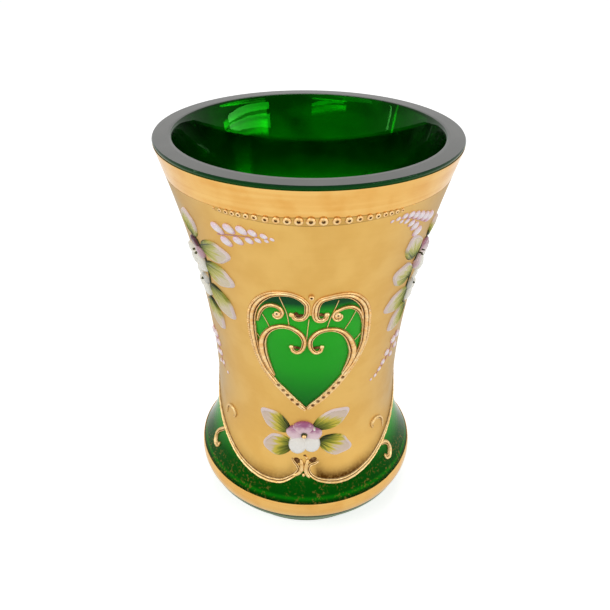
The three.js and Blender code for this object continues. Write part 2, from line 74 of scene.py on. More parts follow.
def smoothstep(low: float, high: float, x: Array | float) -> Array:
    """Soft step from 0 to 1 as values pass from low to high."""
    t = portion(low, high, x)
    return t * t * (3 - 2 * t)


@dataclass(frozen=True)
class BodyForm:
    """The turned form of the glass, and the two skins of the gilding on it."""

    height: float = 162.0
    rim_radius: float = 54.8
    rim_wall: float = 6.8
    rim_bevel: float = 0.5
    waist_height: float = 60.0
    waist_radius: float = 37.6
    waist_wall: float = 5.6
    flare_power: float = 1.82
    skirt_power: float = 2.4
    foot_top_height: float = 21.6
    foot_top_radius: float = 47.1
    foot_bulge: float = 0.9
    roll_height: float = 12.4
    roll_radius: float = 46.0
    undercut_power: float = 1.4
    base_radius: float = 37.8
    base_bevel: float = 0.6
    floor_height: float = 24.0
    floor_rounding: float = 9.0
    hollow_radius: float = 26.0
    hollow_depth: float = 1.5
    art_radius: float = 40.0
    gold_under: float = 0.08
    gold_top: float = 0.3

    def outer(self, z: Array | float) -> Array:
        """Outside radius of the glass.

        Args:
            z: heights.

        Returns:
            The radius at each height.
        """
        rise = portion(self.waist_height, self.height, z) ** self.flare_power
        bell = (self.rim_radius - self.waist_radius) * rise
        fall = portion(self.waist_height, self.foot_top_height, z) ** self.skirt_power
        skirt = (self.foot_top_radius - self.waist_radius) * fall
        lift = portion(self.roll_height, self.foot_top_height, z)
        roll = (self.foot_top_radius - self.roll_radius) * lift + self.foot_bulge * np.sin(np.pi * lift)
        tuck = smoothstep(0, self.roll_height, z) ** self.undercut_power
        undercut = self.base_radius + (self.roll_radius - self.base_radius) * tuck
        z = np.asarray(z, float)
        steps = [z >= self.waist_height, z >= self.foot_top_height, z >= self.roll_height]
        parts = [self.waist_radius + bell, self.waist_radius + skirt, self.roll_radius + roll]
        return np.select(steps, parts, undercut)

    def inner(self, z: float) -> float:
        """Inside radius of the glass at a height above its floor."""
        thicker = (self.rim_wall - self.waist_wall) * portion(self.waist_height, self.height, z)
        return float(self.outer(max(z, self.waist_height)) - (self.waist_wall + thicker))

    def line(self, low: float, high: float, steps: int, off: float = 0.0) -> list[Point]:
        """Corners up the outside of the glass, at a distance from it."""
        return [(float(self.outer(z)) + off, float(z)) for z in np.linspace(low, high, steps)]

    def wrap(self, across: Array, z: Array, off: Array | float, turn: float) -> Array:
        """Wraps points of the flat drawing on the body.

        Args:
            across: arc at the drawing's radius.
            z: heights.
            off: distance outwards from the glass.
            turn: the face's turn about the axis, in radians.

        Returns:
            Corners in metres.
        """
        angle = across / self.art_radius + turn
        radius = self.outer(z) + off
        return np.stack([radius * np.sin(angle), -radius * np.cos(angle), z], axis=-1) * MM


FORM = BodyForm()
RIM_BAND = (150.6, 160.4)
FOOT_BAND = (14.4, 21.6)
FIELD_TOP = 150.58
ARCH_HEIGHT = 63.8
QUARTER = math.pi * FORM.art_radius / 2
UNDERSIDE = 0.1
GLASS_IOR = 1.52


class Side(Enum):
    """A side of the vase."""

    @property
    def word(self) -> str:
        """The side's word in the names of its pieces."""
        return self.name.lower()


class Face(Side):
    """The two decorated faces, each with its turn about the axis, in radians."""

    FRONT = 0.0
    BACK = math.pi


class Hand(Side):
    """The two sides of a face as someone facing it sees them, each with the sign of its across."""

    LEFT = -1
    RIGHT = 1


def smooth_path(points: Sequence[Sequence[float]], step: float) -> Array:
    """Samples a smooth curve through points, in about equal steps along it.

    Args:
        points: what the curve passes through. The first two numbers of each are its place.
        step: length of a step.

    Returns:
        The samples, one row each.
    """
    p = [np.array(point, float) for point in points]
    p = [2 * p[0] - p[1], *p, 2 * p[-1] - p[-2]]
    t = np.linspace(0, 1, 24, endpoint=False)[:, None]
    stretches = []
    for a, b, c, d in zip(p, p[1:], p[2:], p[3:]):
        before, here, after = (max(np.linalg.norm(q - r), 1e-6) ** 0.5 for q, r in ((b, a), (c, b), (d, c)))
        leave = ((b - a) / before - (c - a) / (before + here) + (c - b) / here) * here
        arrive = ((c - b) / here - (d - b) / (here + after) + (d - c) / after) * here
        start, end = 2 * t**3 - 3 * t**2 + 1, 3 * t**2 - 2 * t**3
        stretches.append(start * b + (t**3 - 2 * t**2 + t) * leave + end * c + (t**3 - t**2) * arrive)
    fine = np.vstack([*stretches, p[-2]])
    gone = np.concatenate([[0], np.cumsum(np.linalg.norm(np.diff(fine[:, :2], axis=0), axis=1))])
    marks = np.linspace(0, gone[-1], max(int(gone[-1] / step), 4) + 1)
    return np.stack([np.interp(marks, gone, column) for column in fine.T], axis=1)


def ring_faces(rows: int, columns: int) -> Array:
    """Quads over rows of corners, where each row is a closed ring.

    Args:
        rows: rows of corners.
        columns: corners in a row.

    Returns:
        The quads, four corner numbers each.
    """
    row, column = np.meshgrid(np.arange(rows - 1), np.arange(columns), indexing="ij")
    here, along = row * columns + column, row * columns + (column + 1) % columns
    return np.stack([here, along, along + columns, here + columns], axis=-1).reshape(-1, 4)


def fan_faces(pole: int, first: int, columns: int) -> list[list[int]]:
    """Triangles from one corner to a ring of corners."""
    return [[pole, first + column, first + (column + 1) % columns] for column in range(columns)]


def distance(points: Array, line: Array) -> Array:
    """Each point's distance to the nearest corner of a line."""
    return np.sqrt(((points[:, None] - line[None]) ** 2).sum(-1)).min(1)


def inside(points: Array, outline: Array) -> Array:
    """Which points lie inside a closed outline.

    Args:
        points: the points, one row each.
        outline: the outline's corners, in order.

    Returns:
        True for each point inside.
    """
    x, y = points[:, :1], points[:, 1:]
    ax, ay = outline[:, 0], outline[:, 1]
    bx, by = np.roll(ax, -1), np.roll(ay, -1)
    spans = (ay > y) != (by > y)
    crossing = ax + (bx - ax) * (y - ay) / np.where(by == ay, 1e-9, by - ay)
    return (spans & (x < crossing)).sum(axis=1) % 2 == 1


def srgb(red: int, green: int, blue: int) -> Colour:
    """The linear colour of an 8-bit display colour."""
    shares = [c / 255 for c in (red, green, blue)]
    return tuple(s / 12.92 if s <= 0.04045 else ((s + 0.055) / 1.055) ** 2.4 for s in shares)


def rgba(colour: object) -> object:
    """A colour with its alpha, or the socket that gives one."""
    return (*colour, 1.0) if isinstance(colour, tuple) else colour


class Graph:
    """A node tree, with short calls that add nodes and join them."""

    def __init__(self, tree: bpy.types.NodeTree) -> None:
        """Keeps the tree to add to."""
        self.tree = tree

    def node(self, kind: str, sockets: Feeds | None = None, **settings: object) -> Node:
        """Adds a node.

        Args:
            kind: the node's type, without its first word.
            sockets: a constant or another node's output for each of its inputs, by name or number.
            settings: the node's own settings.

        Returns:
            The node.
        """
        made = self.tree.nodes.new(f"ShaderNode{kind}")
        for setting, value in settings.items():
            setattr(made, setting, value)
        self.feed(made, sockets or {})
        return made

    def feed(self, made: Node, sockets: Feeds) -> None:
        """Gives a node's inputs their constants, or joins other nodes' outputs to them.

        Args:
            made: the node.
            sockets: a constant or an output for each input, by name or number.
        """
        for key, value in sockets.items():
            if isinstance(value, Socket):
                self.tree.links.new(value, made.inputs[key])
            else:
                made.inputs[key].default_value = value

    def painted(self, word: str) -> Socket:
        """The value painted on the corners under a name."""
        return self.node("Attribute", attribute_name=word).outputs["Fac"]

    def place(self) -> Socket:
        """The place on the object, in metres."""
        return self.node("TexCoord").outputs["Object"]

    def height(self) -> Socket:
        """The height on the object, in metres."""
        return self.node("SeparateXYZ", {0: self.place()}).outputs["Z"]

    def math(self, operation: str, *values: object) -> Socket:
        """One sum, product or other step on numbers."""
        return self.node("Math", dict(enumerate(values)), operation=operation).outputs[0]

    def scaled(self, vector: Socket, scale: Station) -> Socket:
        """A vector times a number on each axis."""
        return self.node("VectorMath", {0: vector, 1: scale}, operation="MULTIPLY").outputs[0]

    def mix(self, share: object, first: object, second: object) -> Socket:
        """Mixes two colours, by a share of the second."""
        return self.node("Mix", {0: share, 6: rgba(first), 7: rgba(second)}, data_type="RGBA").outputs[2]

    def spread(
        self, value: Socket, low: float, high: float, to_low: float = 0.0, to_high: float = 1.0
    ) -> Socket:
        """Maps a range of numbers smoothly to another."""
        sockets = {0: value, 1: low, 2: high, 3: to_low, 4: to_high}
        return self.node("MapRange", sockets, interpolation_type="SMOOTHSTEP").outputs[0]

    def noise(self, vector: Socket, scale: float | Socket, detail: float = 2.0) -> Socket:
        """A soft cloudy pattern from about 0.3 to 0.7."""
        return self.node("TexNoise", {"Vector": vector, "Scale": scale, "Detail": detail}).outputs[0]

    def bump(self, height: Socket, depth_mm: float) -> Socket:
        """A normal that follows a height pattern."""
        return self.node("Bump", {"Strength": 1.0, "Distance": depth_mm * MM, "Height": height}).outputs[0]

    def use(self, name: str, sockets: Feeds) -> Node:
        """Places a shared group with its own values."""
        return self.node("Group", sockets, node_tree=bpy.data.node_groups[name])

    def masked(self, name: str, scale: float) -> Socket:
        """The mask of a shared pattern at a scale."""
        return self.use(name, {"Scale": scale}).outputs["Mask"]


class SharedEffects:
    """The shader node groups that more than one finish uses."""

    @staticmethod
    def start(name: str, inputs: dict[str, object], output: str) -> tuple[Graph, Node, Node]:
        """Starts a group.

        Args:
            name: the group's name.
            inputs: the default of each input, by name: a number, or a colour with its alpha.
            output: the name of its output, Color or Mask.

        Returns:
            The group's graph, its input node and its output node.
        """
        tree = bpy.data.node_groups.new(name, "ShaderNodeTree")
        for word, default in inputs.items():
            kind = "NodeSocketColor" if isinstance(default, tuple) else "NodeSocketFloat"
            tree.interface.new_socket(name=word, in_out="INPUT", socket_type=kind).default_value = default
        kind = "NodeSocketColor" if output == "Color" else "NodeSocketFloat"
        tree.interface.new_socket(name=output, in_out="OUTPUT", socket_type=kind)
        return Graph(tree), tree.nodes.new("NodeGroupInput"), tree.nodes.new("NodeGroupOutput")

    def pattern(self, name: str, squeeze: Station, low: float, high: float) -> None:
        """Builds a group whose mask is a noise pattern.

        Args:
            name: the group's name.
            squeeze: how fine the pattern is along each axis.
            low: the noise that gives 0.
            high: the noise that gives 1.
        """
        graph, given, out = self.start(name, {"Scale": 100.0}, "Mask")
        noise = graph.noise(graph.scaled(graph.place(), squeeze), given.outputs["Scale"], 3.0)
        graph.feed(out, {"Mask": graph.spread(noise, low, high)})

    def build(self) -> None:
        """Builds soft clouds, fine lines round the body, and painted shade, a dark tone for hollows and
        edges.
        """
        self.pattern("mottle", (1.0, 1.0, 1.0), 0.36, 0.64)
        self.pattern("streaks", (0.03, 0.03, 1.0), 0.34, 0.66)
        colours = {"Color": (1.0, 1.0, 1.0, 1.0), "Stain": (0.0, 0.0, 0.0, 1.0)}
        # This group mixes painted shade, a dark tone, into a colour by a mask, a little unevenly.
        graph, given, out = self.start("stain", {**colours, "Mask": 0.0}, "Color")
        uneven_shade = graph.spread(graph.noise(graph.place(), 900.0), 0.3, 0.6, 0.8)
        share = graph.math("MULTIPLY", given.outputs["Mask"], uneven_shade)
        mixed = graph.mix(share, given.outputs["Color"], given.outputs["Stain"])
        graph.feed(out, {"Color": mixed})


def new_material(name: str) -> tuple[bpy.types.Material, Graph]:
    """Starts a material.

    Args:
        name: the material's name.

    Returns:
        The material and its graph.
    """
    material = bpy.data.materials.new(name)
    material.use_nodes = True
    return material, Graph(material.node_tree)


@dataclass(frozen=True)
class Finish:
    """A finish, which feeds the surface of the material that has its name."""

    name: str

    def surface(self, graph: Graph) -> Feeds:
        """What each input of the surface gets, by name."""
        raise NotImplementedError(self.name)

    def build(self) -> bpy.types.Material:
        """Builds the finish.

        Returns:
            The material.
        """
        material, graph = new_material(self.name)
        graph.feed(graph.tree.nodes["Principled BSDF"], self.surface(graph))
        return material


@dataclass(frozen=True)
class GoldFinish(Finish):
    """Gilding: its colour, its warmer tone, the dark tone of its painted shade, and its tint seen at a slant.
    """

    colour: Colour
    warm: Colour
    stain: Colour
    roughness: float
    cloud_scale: float
    streak_scale: float
    grain_mm: float
    streak_share: float = 0.4
    metallic: float = 1.0
    slant: Colour = (1.0, 1.0, 1.0)

    def surface(self, graph: Graph) -> Feeds:
        """Clouds and lines in the gold, painted shade as a dull dark tone in its hollows and along its edges,
        and a warmer painted shade on the outer flanks of ribbons.

        Args:
            graph: the material's nodes.

        Returns:
            What each input of the surface gets, by name.
        """
        clouds = graph.masked("mottle", self.cloud_scale)
        lines = graph.math("MULTIPLY", graph.masked("streaks", self.streak_scale), self.streak_share)
        share = graph.math("MULTIPLY_ADD", clouds, 1 - self.streak_share, lines)
        # Painted shade: a warmer tone on the outer side of a ribbon, mixed in with the clouds.
        mottle_and_flank_shade = graph.math("MAXIMUM", share, graph.painted("flank"))
        tone = graph.mix(mottle_and_flank_shade, self.colour, self.warm)
        # Painted shade: the painted value darkens the gold in grooves, pits and eyes, along edges and beside
        # the tongue scrolls.
        hollow = graph.painted("hollow")
        rough = graph.math("MULTIPLY_ADD", share, 0.08, self.roughness - 0.04)
        shaded = graph.use("stain", {"Color": tone, "Stain": rgba(self.stain), "Mask": hollow})
        return {
            "Base Color": shaded.outputs["Color"],
            "Roughness": graph.math("MULTIPLY_ADD", hollow, 0.25, rough),
            "Normal": graph.bump(graph.noise(graph.place(), 2600.0), self.grain_mm),
            "Metallic": self.metallic,
            "Specular Tint": rgba(self.slant),
        }


@dataclass(frozen=True)
class GlassFinish(Finish):
    """Green glass, whose tone changes with the height on the body, with gold flecks low down."""

    tones: tuple[tuple[float, Colour], ...]
    transmission: float
    roughness: float = 0.03
    specular: float = 0.2
    gloss_tint: Colour = srgb(90, 170, 90)
    fleck: Colour = srgb(150, 120, 56)
    fleck_share: float = 0.0

    def surface(self, graph: Graph) -> Feeds:
        """The tones by height, with clouds and flecks over them.

        Args:
            graph: the material's nodes.

        Returns:
            What each input of the surface gets, by name.
        """
        low, high = self.tones[0][0], self.tones[-1][0]
        height = graph.node("MapRange", {0: graph.height(), 1: low * MM, 2: high * MM}).outputs[0]
        ramp = graph.node("ValToRGB", {0: height})
        stops = ramp.color_ramp.elements
        for number, (level, colour) in enumerate(self.tones):
            place = (level - low) / (high - low)
            stop = stops[0] if number == 0 else stops[-1] if place == 1 else stops.new(place)
            stop.color = rgba(colour)
        tone = ramp.outputs["Color"]
        if self.fleck_share:
            low_down = graph.spread(graph.height(), 26.0 * MM, 34.0 * MM, self.fleck_share, 0.0)
            specks = graph.spread(graph.noise(graph.place(), 940.0, 4.0), 0.51, 0.66)
            heaps = graph.math("MULTIPLY", specks, graph.masked("mottle", 170.0))
            tone = graph.mix(graph.math("MULTIPLY", heaps, low_down), tone, self.fleck)
        clouds = graph.math("MULTIPLY", graph.masked("mottle", 60.0), 0.1)
        return {
            "Base Color": graph.mix(clouds, tone, self.tones[0][1]),
            "Roughness": self.roughness,
            "Normal": graph.bump(graph.noise(graph.place(), 90.0), 0.02),
            "Transmission Weight": self.transmission,
            "IOR": GLASS_IOR,
            "Specular IOR Level": self.specular,
            "Specular Tint": rgba(self.gloss_tint),
        }


@dataclass(frozen=True)
class GroundFinish(Finish):
    """Ground glass of the rim and the foot: grey, even, with the fine grain of the wheel."""

    colour: Colour
    pale: Colour
    roughness: float
    specular: float = 0.3

    def surface(self, graph: Graph) -> Feeds:
        """Clouds and grain in two close tones.

        Args:
            graph: the material's nodes.

        Returns:
            What each input of the surface gets, by name.
        """
        grain = graph.noise(graph.place(), 1800.0)
        half = graph.math("MULTIPLY", grain, 0.5)
        share = graph.math("MULTIPLY_ADD", graph.masked("mottle", 45.0), 0.5, half)
        return {
            "Base Color": graph.mix(share, self.colour, self.pale),
            "Roughness": self.roughness,
            "Normal": graph.bump(grain, 0.01),
            "IOR": GLASS_IOR,
            "Specular IOR Level": self.specular,
        }


@dataclass(frozen=True)
class EnamelFinish(Finish):
    """Raised enamel that changes tone from the foot of a petal or bud to its edge."""

    foot: Colour
    middle: Colour
    edge: Colour
    turn: float = 0.5
    roughness: float = 0.22
    coat: float = 0.3
    specular: float = 0.5

    def surface(self, graph: Graph) -> Feeds:
        """Three tones along the form, with soft clouds.

        Args:
            graph: the material's nodes.

        Returns:
            What each input of the surface gets, by name.
        """
        clouds = graph.masked("mottle", 500.0)
        along = graph.math("MULTIPLY_ADD", clouds, 0.12, graph.painted("along"))
        inner = graph.mix(graph.spread(along, 0.0, self.turn), self.foot, self.middle)
        return {
            "Base Color": graph.mix(graph.spread(along, self.turn, 1.0), inner, self.edge),
            "Roughness": graph.math("MULTIPLY_ADD", clouds, 0.08, self.roughness),
            "Normal": graph.bump(graph.noise(graph.place(), 700.0), 0.03),
            "Specular IOR Level": self.specular,
            "Coat Weight": self.coat,
            "Coat Roughness": 0.08,
        }


@dataclass(frozen=True)
class LeafFinish(Finish):
    """Leaf enamel: dark strokes at its foot, yellow-green, yellow, then milk, with a pale rim and veins."""

    dark: Colour = srgb(34, 46, 16)
    green: Colour = srgb(138, 144, 44)
    yellow: Colour = srgb(220, 202, 76)
    milk: Colour = srgb(230, 208, 188)
    rim: Colour = srgb(240, 224, 224)
    dark_reach: float = 0.3
    roughness: float = 0.25

    def surface(self, graph: Graph) -> Feeds:
        """Brushed tones along the leaf, then the veins and the rim over them.

        Args:
            graph: the material's nodes.

        Returns:
            What each input of the surface gets, by name.
        """
        parts = {0: graph.painted("fan"), 1: graph.painted("along"), 2: graph.painted("kind")}
        strokes = graph.scaled(graph.node("CombineXYZ", parts).outputs[0], (9.0, 1.1, 7.0))
        streak = graph.noise(strokes, 1.0, 3.0)
        ragged = graph.math("MULTIPLY_ADD", graph.math("SUBTRACT", streak, 0.5), 0.9, parts[1])
        tone = graph.mix(graph.spread(ragged, 0.0, self.dark_reach), self.dark, self.green)
        tone = graph.mix(graph.spread(ragged, self.dark_reach - 0.06, 0.5), tone, self.yellow)
        tone = graph.mix(graph.spread(ragged, 0.5, 0.72), tone, self.milk)
        far = graph.spread(parts[1], 0.34, 0.62, 0.0, 0.9)
        veins = graph.math("MULTIPLY", graph.spread(streak, 0.5, 0.72, 0.0, 0.4), far)
        edge = graph.math("MULTIPLY", graph.spread(graph.painted("edge"), 0.78, 0.9), far)
        clouds = graph.masked("mottle", 400.0)
        return {
            "Base Color": graph.mix(edge, graph.mix(veins, tone, self.rim), self.rim),
            "Roughness": graph.math("MULTIPLY_ADD", clouds, 0.1, self.roughness),
            "Normal": graph.bump(streak, 0.12),
            "Specular IOR Level": 0.14,
            "Coat Weight": 0.05,
            "Coat Roughness": 0.1,
        }


class Look(Enum):
    """Every finish of the vase. The lining is the gold's underside, which shows to whoever looks in."""

    # Painted light and shade: the inside is bright green low down and dark near the rim.
    INSIDE = GlassFinish(
        "inner_glass",
        (
            (0.0, srgb(3, 240, 8)), (126.0, srgb(3, 236, 8)), (139.0, srgb(1, 100, 5)),
            (150.0, srgb(1, 40, 3)), (FORM.height, srgb(1, 34, 3)),
        ),
        0.85, roughness=0.01, specular=0.06, gloss_tint=srgb(6, 188, 12),
    )
    LIP = GlassFinish(
        "lip_glass",
        (
            (RIM_BAND[1] - 1.0, srgb(6, 92, 14)), (FORM.height - 0.9, srgb(8, 76, 22)),
            (FORM.height, srgb(30, 56, 42)),
        ),
        0.2, specular=0.15,
    )
    # Painted light and shade: the window lets little light through, and is bright green in its middle and
    # dark at the lobes' tops and towards the tip.
    HEART = GlassFinish(
        "heart_glass",
        (
            (62.0, srgb(16, 104, 34)), (70.0, srgb(30, 140, 40)), (84.0, srgb(42, 188, 42)),
            (104.0, srgb(50, 208, 46)), (112.0, srgb(44, 196, 44)), (115.6, srgb(20, 84, 46)),
            (120.0, srgb(14, 66, 40)),
        ),
        0.2,
    )
    # Painted highlight: a bright line at 23.5 mm and paler green higher up. Painted shade: a dark line at
    # 21.9 mm above the foot band. The gold flecks are the glass's own.
    FOOT = GlassFinish(
        "foot_glass",
        (
            (12.0, srgb(4, 70, 6)), (21.4, srgb(4, 70, 6)), (21.9, srgb(2, 44, 4)), (22.6, srgb(8, 84, 8)),
            (23.5, srgb(14, 130, 12)), (24.6, srgb(4, 84, 8)), (30.0, srgb(6, 92, 10)),
            (36.0, srgb(46, 152, 40)), (46.0, srgb(88, 212, 72)), (64.0, srgb(124, 230, 108)),
        ),
        0.1, specular=0.03, fleck_share=0.75,
    )
    GROUND_RIM = GroundFinish("ground_glass", srgb(82, 83, 80), srgb(97, 97, 93), 0.3)
    GROUND_FOOT = GroundFinish("ground_foot_glass", srgb(108, 132, 98), srgb(134, 154, 120), 0.35)
    MATTE = GoldFinish(
        "matte_gold", srgb(227, 185, 105), srgb(221, 177, 96), srgb(88, 52, 8),
        0.46, 70.0, 900.0, 0.004, 0.1, slant=(0.5, 0.68, 1.0),
    )
    BURNISHED = GoldFinish(
        "burnished_gold", srgb(236, 190, 111), srgb(226, 170, 88), srgb(120, 74, 24),
        0.2, 120.0, 520.0, 0.003, 0.5,
    )
    LINING = GoldFinish(
        "gold_lining", srgb(240, 210, 130), srgb(232, 200, 116), srgb(120, 82, 20), 0.04, 60.0, 400.0, 0.001
    )
    RAISED = GoldFinish(
        "raised_gold", srgb(252, 222, 166), srgb(240, 186, 112), srgb(92, 52, 18),
        0.33, 500.0, 1500.0, 0.008, metallic=0.85,
    )
    # Painted shade: a darker, rougher copy of the raised gold, for the tongue scrolls, their curls and the
    # fleur.
    WORN = GoldFinish(
        "worn_gold", srgb(242, 212, 156), srgb(224, 182, 112), srgb(92, 54, 18),
        0.4, 500.0, 1500.0, 0.008, metallic=0.85,
    )
    # Painted shade: the dark brown of the dab on each lobe ball.
    STAIN = EnamelFinish(
        "brown_stain", srgb(92, 58, 26), srgb(84, 52, 24), srgb(100, 64, 30), roughness=0.4
    )
    LEAF = LeafFinish("leaf_enamel")
    SPRAY_LEAF = LeafFinish(
        "spray_leaf_enamel", green=srgb(146, 154, 62), yellow=srgb(208, 202, 116),
        milk=srgb(230, 216, 186), dark_reach=0.22,
    )
    STEM = EnamelFinish(
        "stem_enamel", srgb(56, 58, 24), srgb(64, 66, 28), srgb(80, 82, 36),
        roughness=0.3, coat=0.04, specular=0.15,
    )
    TWIG = EnamelFinish(
        "twig_enamel", srgb(196, 138, 132), srgb(190, 128, 126), srgb(186, 126, 120), roughness=0.35
    )
    LILAC = EnamelFinish("lilac_enamel", srgb(252, 244, 240), srgb(240, 206, 216), srgb(166, 88, 134), 0.6)
    WHITE = EnamelFinish("white_enamel", srgb(244, 236, 222), srgb(252, 248, 240), srgb(253, 251, 246), 0.4)
    CREAM = EnamelFinish("cream_enamel", srgb(226, 214, 178), srgb(242, 238, 222), srgb(248, 246, 236), 0.4)
    PURPLE = EnamelFinish(
        "purple_enamel", srgb(176, 122, 130), srgb(108, 46, 60), srgb(84, 28, 44), 0.4,
        coat=0.12, specular=0.25,
    )
    PINK = EnamelFinish("pink_enamel", srgb(222, 206, 196), srgb(212, 184, 184), srgb(200, 158, 170), 0.5)
    MAUVE = EnamelFinish("mauve_enamel", srgb(220, 190, 196), srgb(196, 148, 164), srgb(170, 112, 134), 0.5)
    BLUE = EnamelFinish(
        "pale_blue_enamel", srgb(120, 122, 122), srgb(160, 166, 164), srgb(214, 212, 202), 0.5
    )
    # Painted highlight: the buds are near white across their middles.
    BUD = EnamelFinish("bud_enamel", srgb(232, 178, 206), srgb(255, 246, 250), srgb(248, 220, 234), 0.45)


def settle(mesh: bpy.types.Mesh, weld: float = 0.0) -> None:
    """Turns a mesh's faces outwards.

    Args:
        mesh: the mesh.
        weld: distance in metres within which corners are first joined.
    """
    shaped = bmesh.new()
    shaped.from_mesh(mesh)
    if weld:
        bmesh.ops.remove_doubles(shaped, verts=shaped.verts, dist=weld)
    bmesh.ops.recalc_face_normals(shaped, faces=shaped.faces)
    shaped.to_mesh(mesh)
    shaped.free()


class Draft:
    """A mesh in the making: its corners, its faces and the values that are painted on its corners."""

    materials: dict[Look, bpy.types.Material] = {}
    segments = 256
    sharp_angle = 52.0

    def __init__(self, turn: float = 0.0) -> None:
        """Starts an empty mesh.

        Args:
            turn: the turn about the axis of the face that it is for.
        """
        self.turn = turn
        self.corners: list[Array] = []
        self.faces: list[list[int]] = []
        self.looks: list[Look] = []
        self.paint: dict[str, list[tuple[int, Array]]] = {}
        self.count = 0

    def add(self, corners: Array, faces: Sequence, looks: Sequence[Look], **paint: Array) -> None:
        """Adds corners and faces.

        Args:
            corners: places in metres, one row each.
            faces: corner numbers of each face, counted from this call's first corner.
            looks: the finish of each face.
            paint: values for the corners, by name.
        """
        self.faces += [[int(corner) + self.count for corner in face] for face in faces]
        self.looks += looks
        for word, values in paint.items():
            self.paint.setdefault(word, []).append((self.count, values))
        self.corners.append(corners)
        self.count += len(corners)

    def lathe(self, profile: Sequence[Point], looks: Sequence[Look], poles: Sequence[float] = ()) -> None:
        """Turns a profile about the axis.

        Args:
            profile: radius and height of each corner off the axis.
            looks: the finish between each corner and the next, from pole to pole if it has poles.
            poles: heights where its ends meet the axis. Without them its last corner joins its first.
        """
        angles = np.arange(self.segments) * 2 * np.pi / self.segments
        radii, heights = np.array(profile, float).T
        level = np.repeat(heights[:, None], self.segments, axis=1)
        rings = np.stack([np.outer(radii, np.sin(angles)), -np.outer(radii, np.cos(angles)), level], axis=-1)
        total = level.size
        faces = (ring_faces(len(radii) + (not poles), self.segments) % total).tolist()
        for end, first in enumerate((0, total - self.segments)[: len(poles)]):
            faces += fan_faces(total + end, first, self.segments)
        order = [*looks[1:-1], looks[0], looks[-1]] if poles else looks
        corners = np.array([*rings.reshape(-1, 3), *((0, 0, height) for height in poles)])
        self.add(corners * MM, faces, [look for look in order for _ in range(self.segments)])

    def pad(self, across: Array, z: Array, off: Array, look: Look, **paint: Array) -> None:
        """Adds a closed pad whose top is a polar grid: row 0 is the middle and the last row is the outline.

        Args:
            across: across of each corner, rows by corners round.
            z: height of each corner.
            off: distance of the top from the glass at each corner.
            look: the finish.
            paint: values for the top's corners, by name.
        """
        rows, columns = across.shape

        def closed(values: Array) -> Array:
            """Values with those of the foot's outline and of the two middles."""
            return np.concatenate([values.ravel(), values[-1], [values[0].mean()] * 2])

        raised = closed(off)
        raised[rows * columns : -2] = UNDERSIDE
        raised[-1] = UNDERSIDE
        faces = ring_faces(rows + 1, columns).tolist()
        top = (rows + 1) * columns
        faces += fan_faces(top, 0, columns) + fan_faces(top + 1, rows * columns, columns)
        corners = FORM.wrap(closed(across), closed(z), raised, self.turn)
        paint = {word: closed(np.broadcast_to(values, across.shape)) for word, values in paint.items()}
        self.add(corners, faces, [look] * len(faces), **paint)

    def piece(self, node: str, slot: str, name: str = "") -> bpy.types.Object:
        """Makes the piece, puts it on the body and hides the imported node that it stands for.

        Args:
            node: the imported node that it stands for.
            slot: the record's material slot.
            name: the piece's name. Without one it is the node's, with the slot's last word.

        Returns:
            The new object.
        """
        name = name or f"{node}_{slot.rpartition('_')[2]}"
        mesh = bpy.data.meshes.new(name)
        mesh.from_pydata(np.vstack(self.corners).tolist(), [], self.faces)
        used = list(dict.fromkeys(self.looks))
        for look in used:
            mesh.materials.append(self.materials[look])
        mesh.polygons.foreach_set("material_index", [used.index(look) for look in self.looks])
        mesh.polygons.foreach_set("use_smooth", [True] * len(self.faces))
        for word, stretches in self.paint.items():
            values = np.zeros(self.count, np.float32)
            for start, part in stretches:
                values[start : start + len(part)] = part
            mesh.attributes.new(word, "FLOAT", "POINT").data.foreach_set("value", values)
        settle(mesh)
        mesh.set_sharp_from_angle(angle=math.radians(self.sharp_angle))
        made = bpy.data.objects.new(name, mesh)
        bpy.context.scene.collection.objects.link(made)
        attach(made, BODY)
        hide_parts(node)
        LOG.info("%s: %d faces", name, len(mesh.polygons))
        return made


@dataclass(frozen=True)
class Oval:
    """A raised oval of enamel or gold, from its foot to its tip."""

    foot: Point
    tip: Point
    width: float
    height: float
    taper: float = 0.0
    peak: float = 0.0

    def mirrored(self, sign: int) -> "Oval":
        """The same oval on the side that the sign gives."""
        return replace(self, foot=(sign * self.foot[0], self.foot[1]), tip=(sign * self.tip[0], self.tip[1]))

    def grid(self, levels: Array, corners: int) -> tuple[Array, Array, Array, Array]:
        """Places of a polar grid over the oval.

        Args:
            levels: share of the way from the middle to the outline, for each row.
            corners: corners round the oval.

        Returns:
            Across and height of each corner, and its place along and aside, from -1 to 1.
        """
        turn = np.arange(corners) * 2 * np.pi / corners
        along = np.cos(turn)
        aside = np.sin(turn) * (1 + self.taper * along)
        if self.peak:
            aside = aside * (1 - self.peak * smoothstep(0.2, 1.0, along))
            along = along * (1 + self.peak * 0.3 * smoothstep(0.6, 1.0, along))
        along, aside = np.outer(levels, along), np.outer(levels, aside)
        start, end = np.array(self.foot), np.array(self.tip)
        middle, reach = (start + end) / 2, (end - start) / 2
        unit = reach / np.linalg.norm(reach)
        half = self.width / 2
        across = middle[0] + reach[0] * along + unit[1] * half * aside
        z = middle[1] + reach[1] * along - unit[0] * half * aside
        return across, z, along, aside


def leaf_oval(foot: Point, tip: Point, width: float, height: float = 1.0, peak: float = 0.25) -> Oval:
    """The outline of a leaf, which is widest past its middle and drawn out at its tip."""
    return Oval(foot, tip, width, height, 0.1, peak)


def round_spot(place: Point, size: float, height: float) -> Oval:
    """An oval that is round on the body, where the drawing is stretched by the bell."""
    reach = size / 2 * FORM.art_radius / float(FORM.outer(place[1]))
    return Oval((place[0] - reach, place[1]), (place[0] + reach, place[1]), size, height)


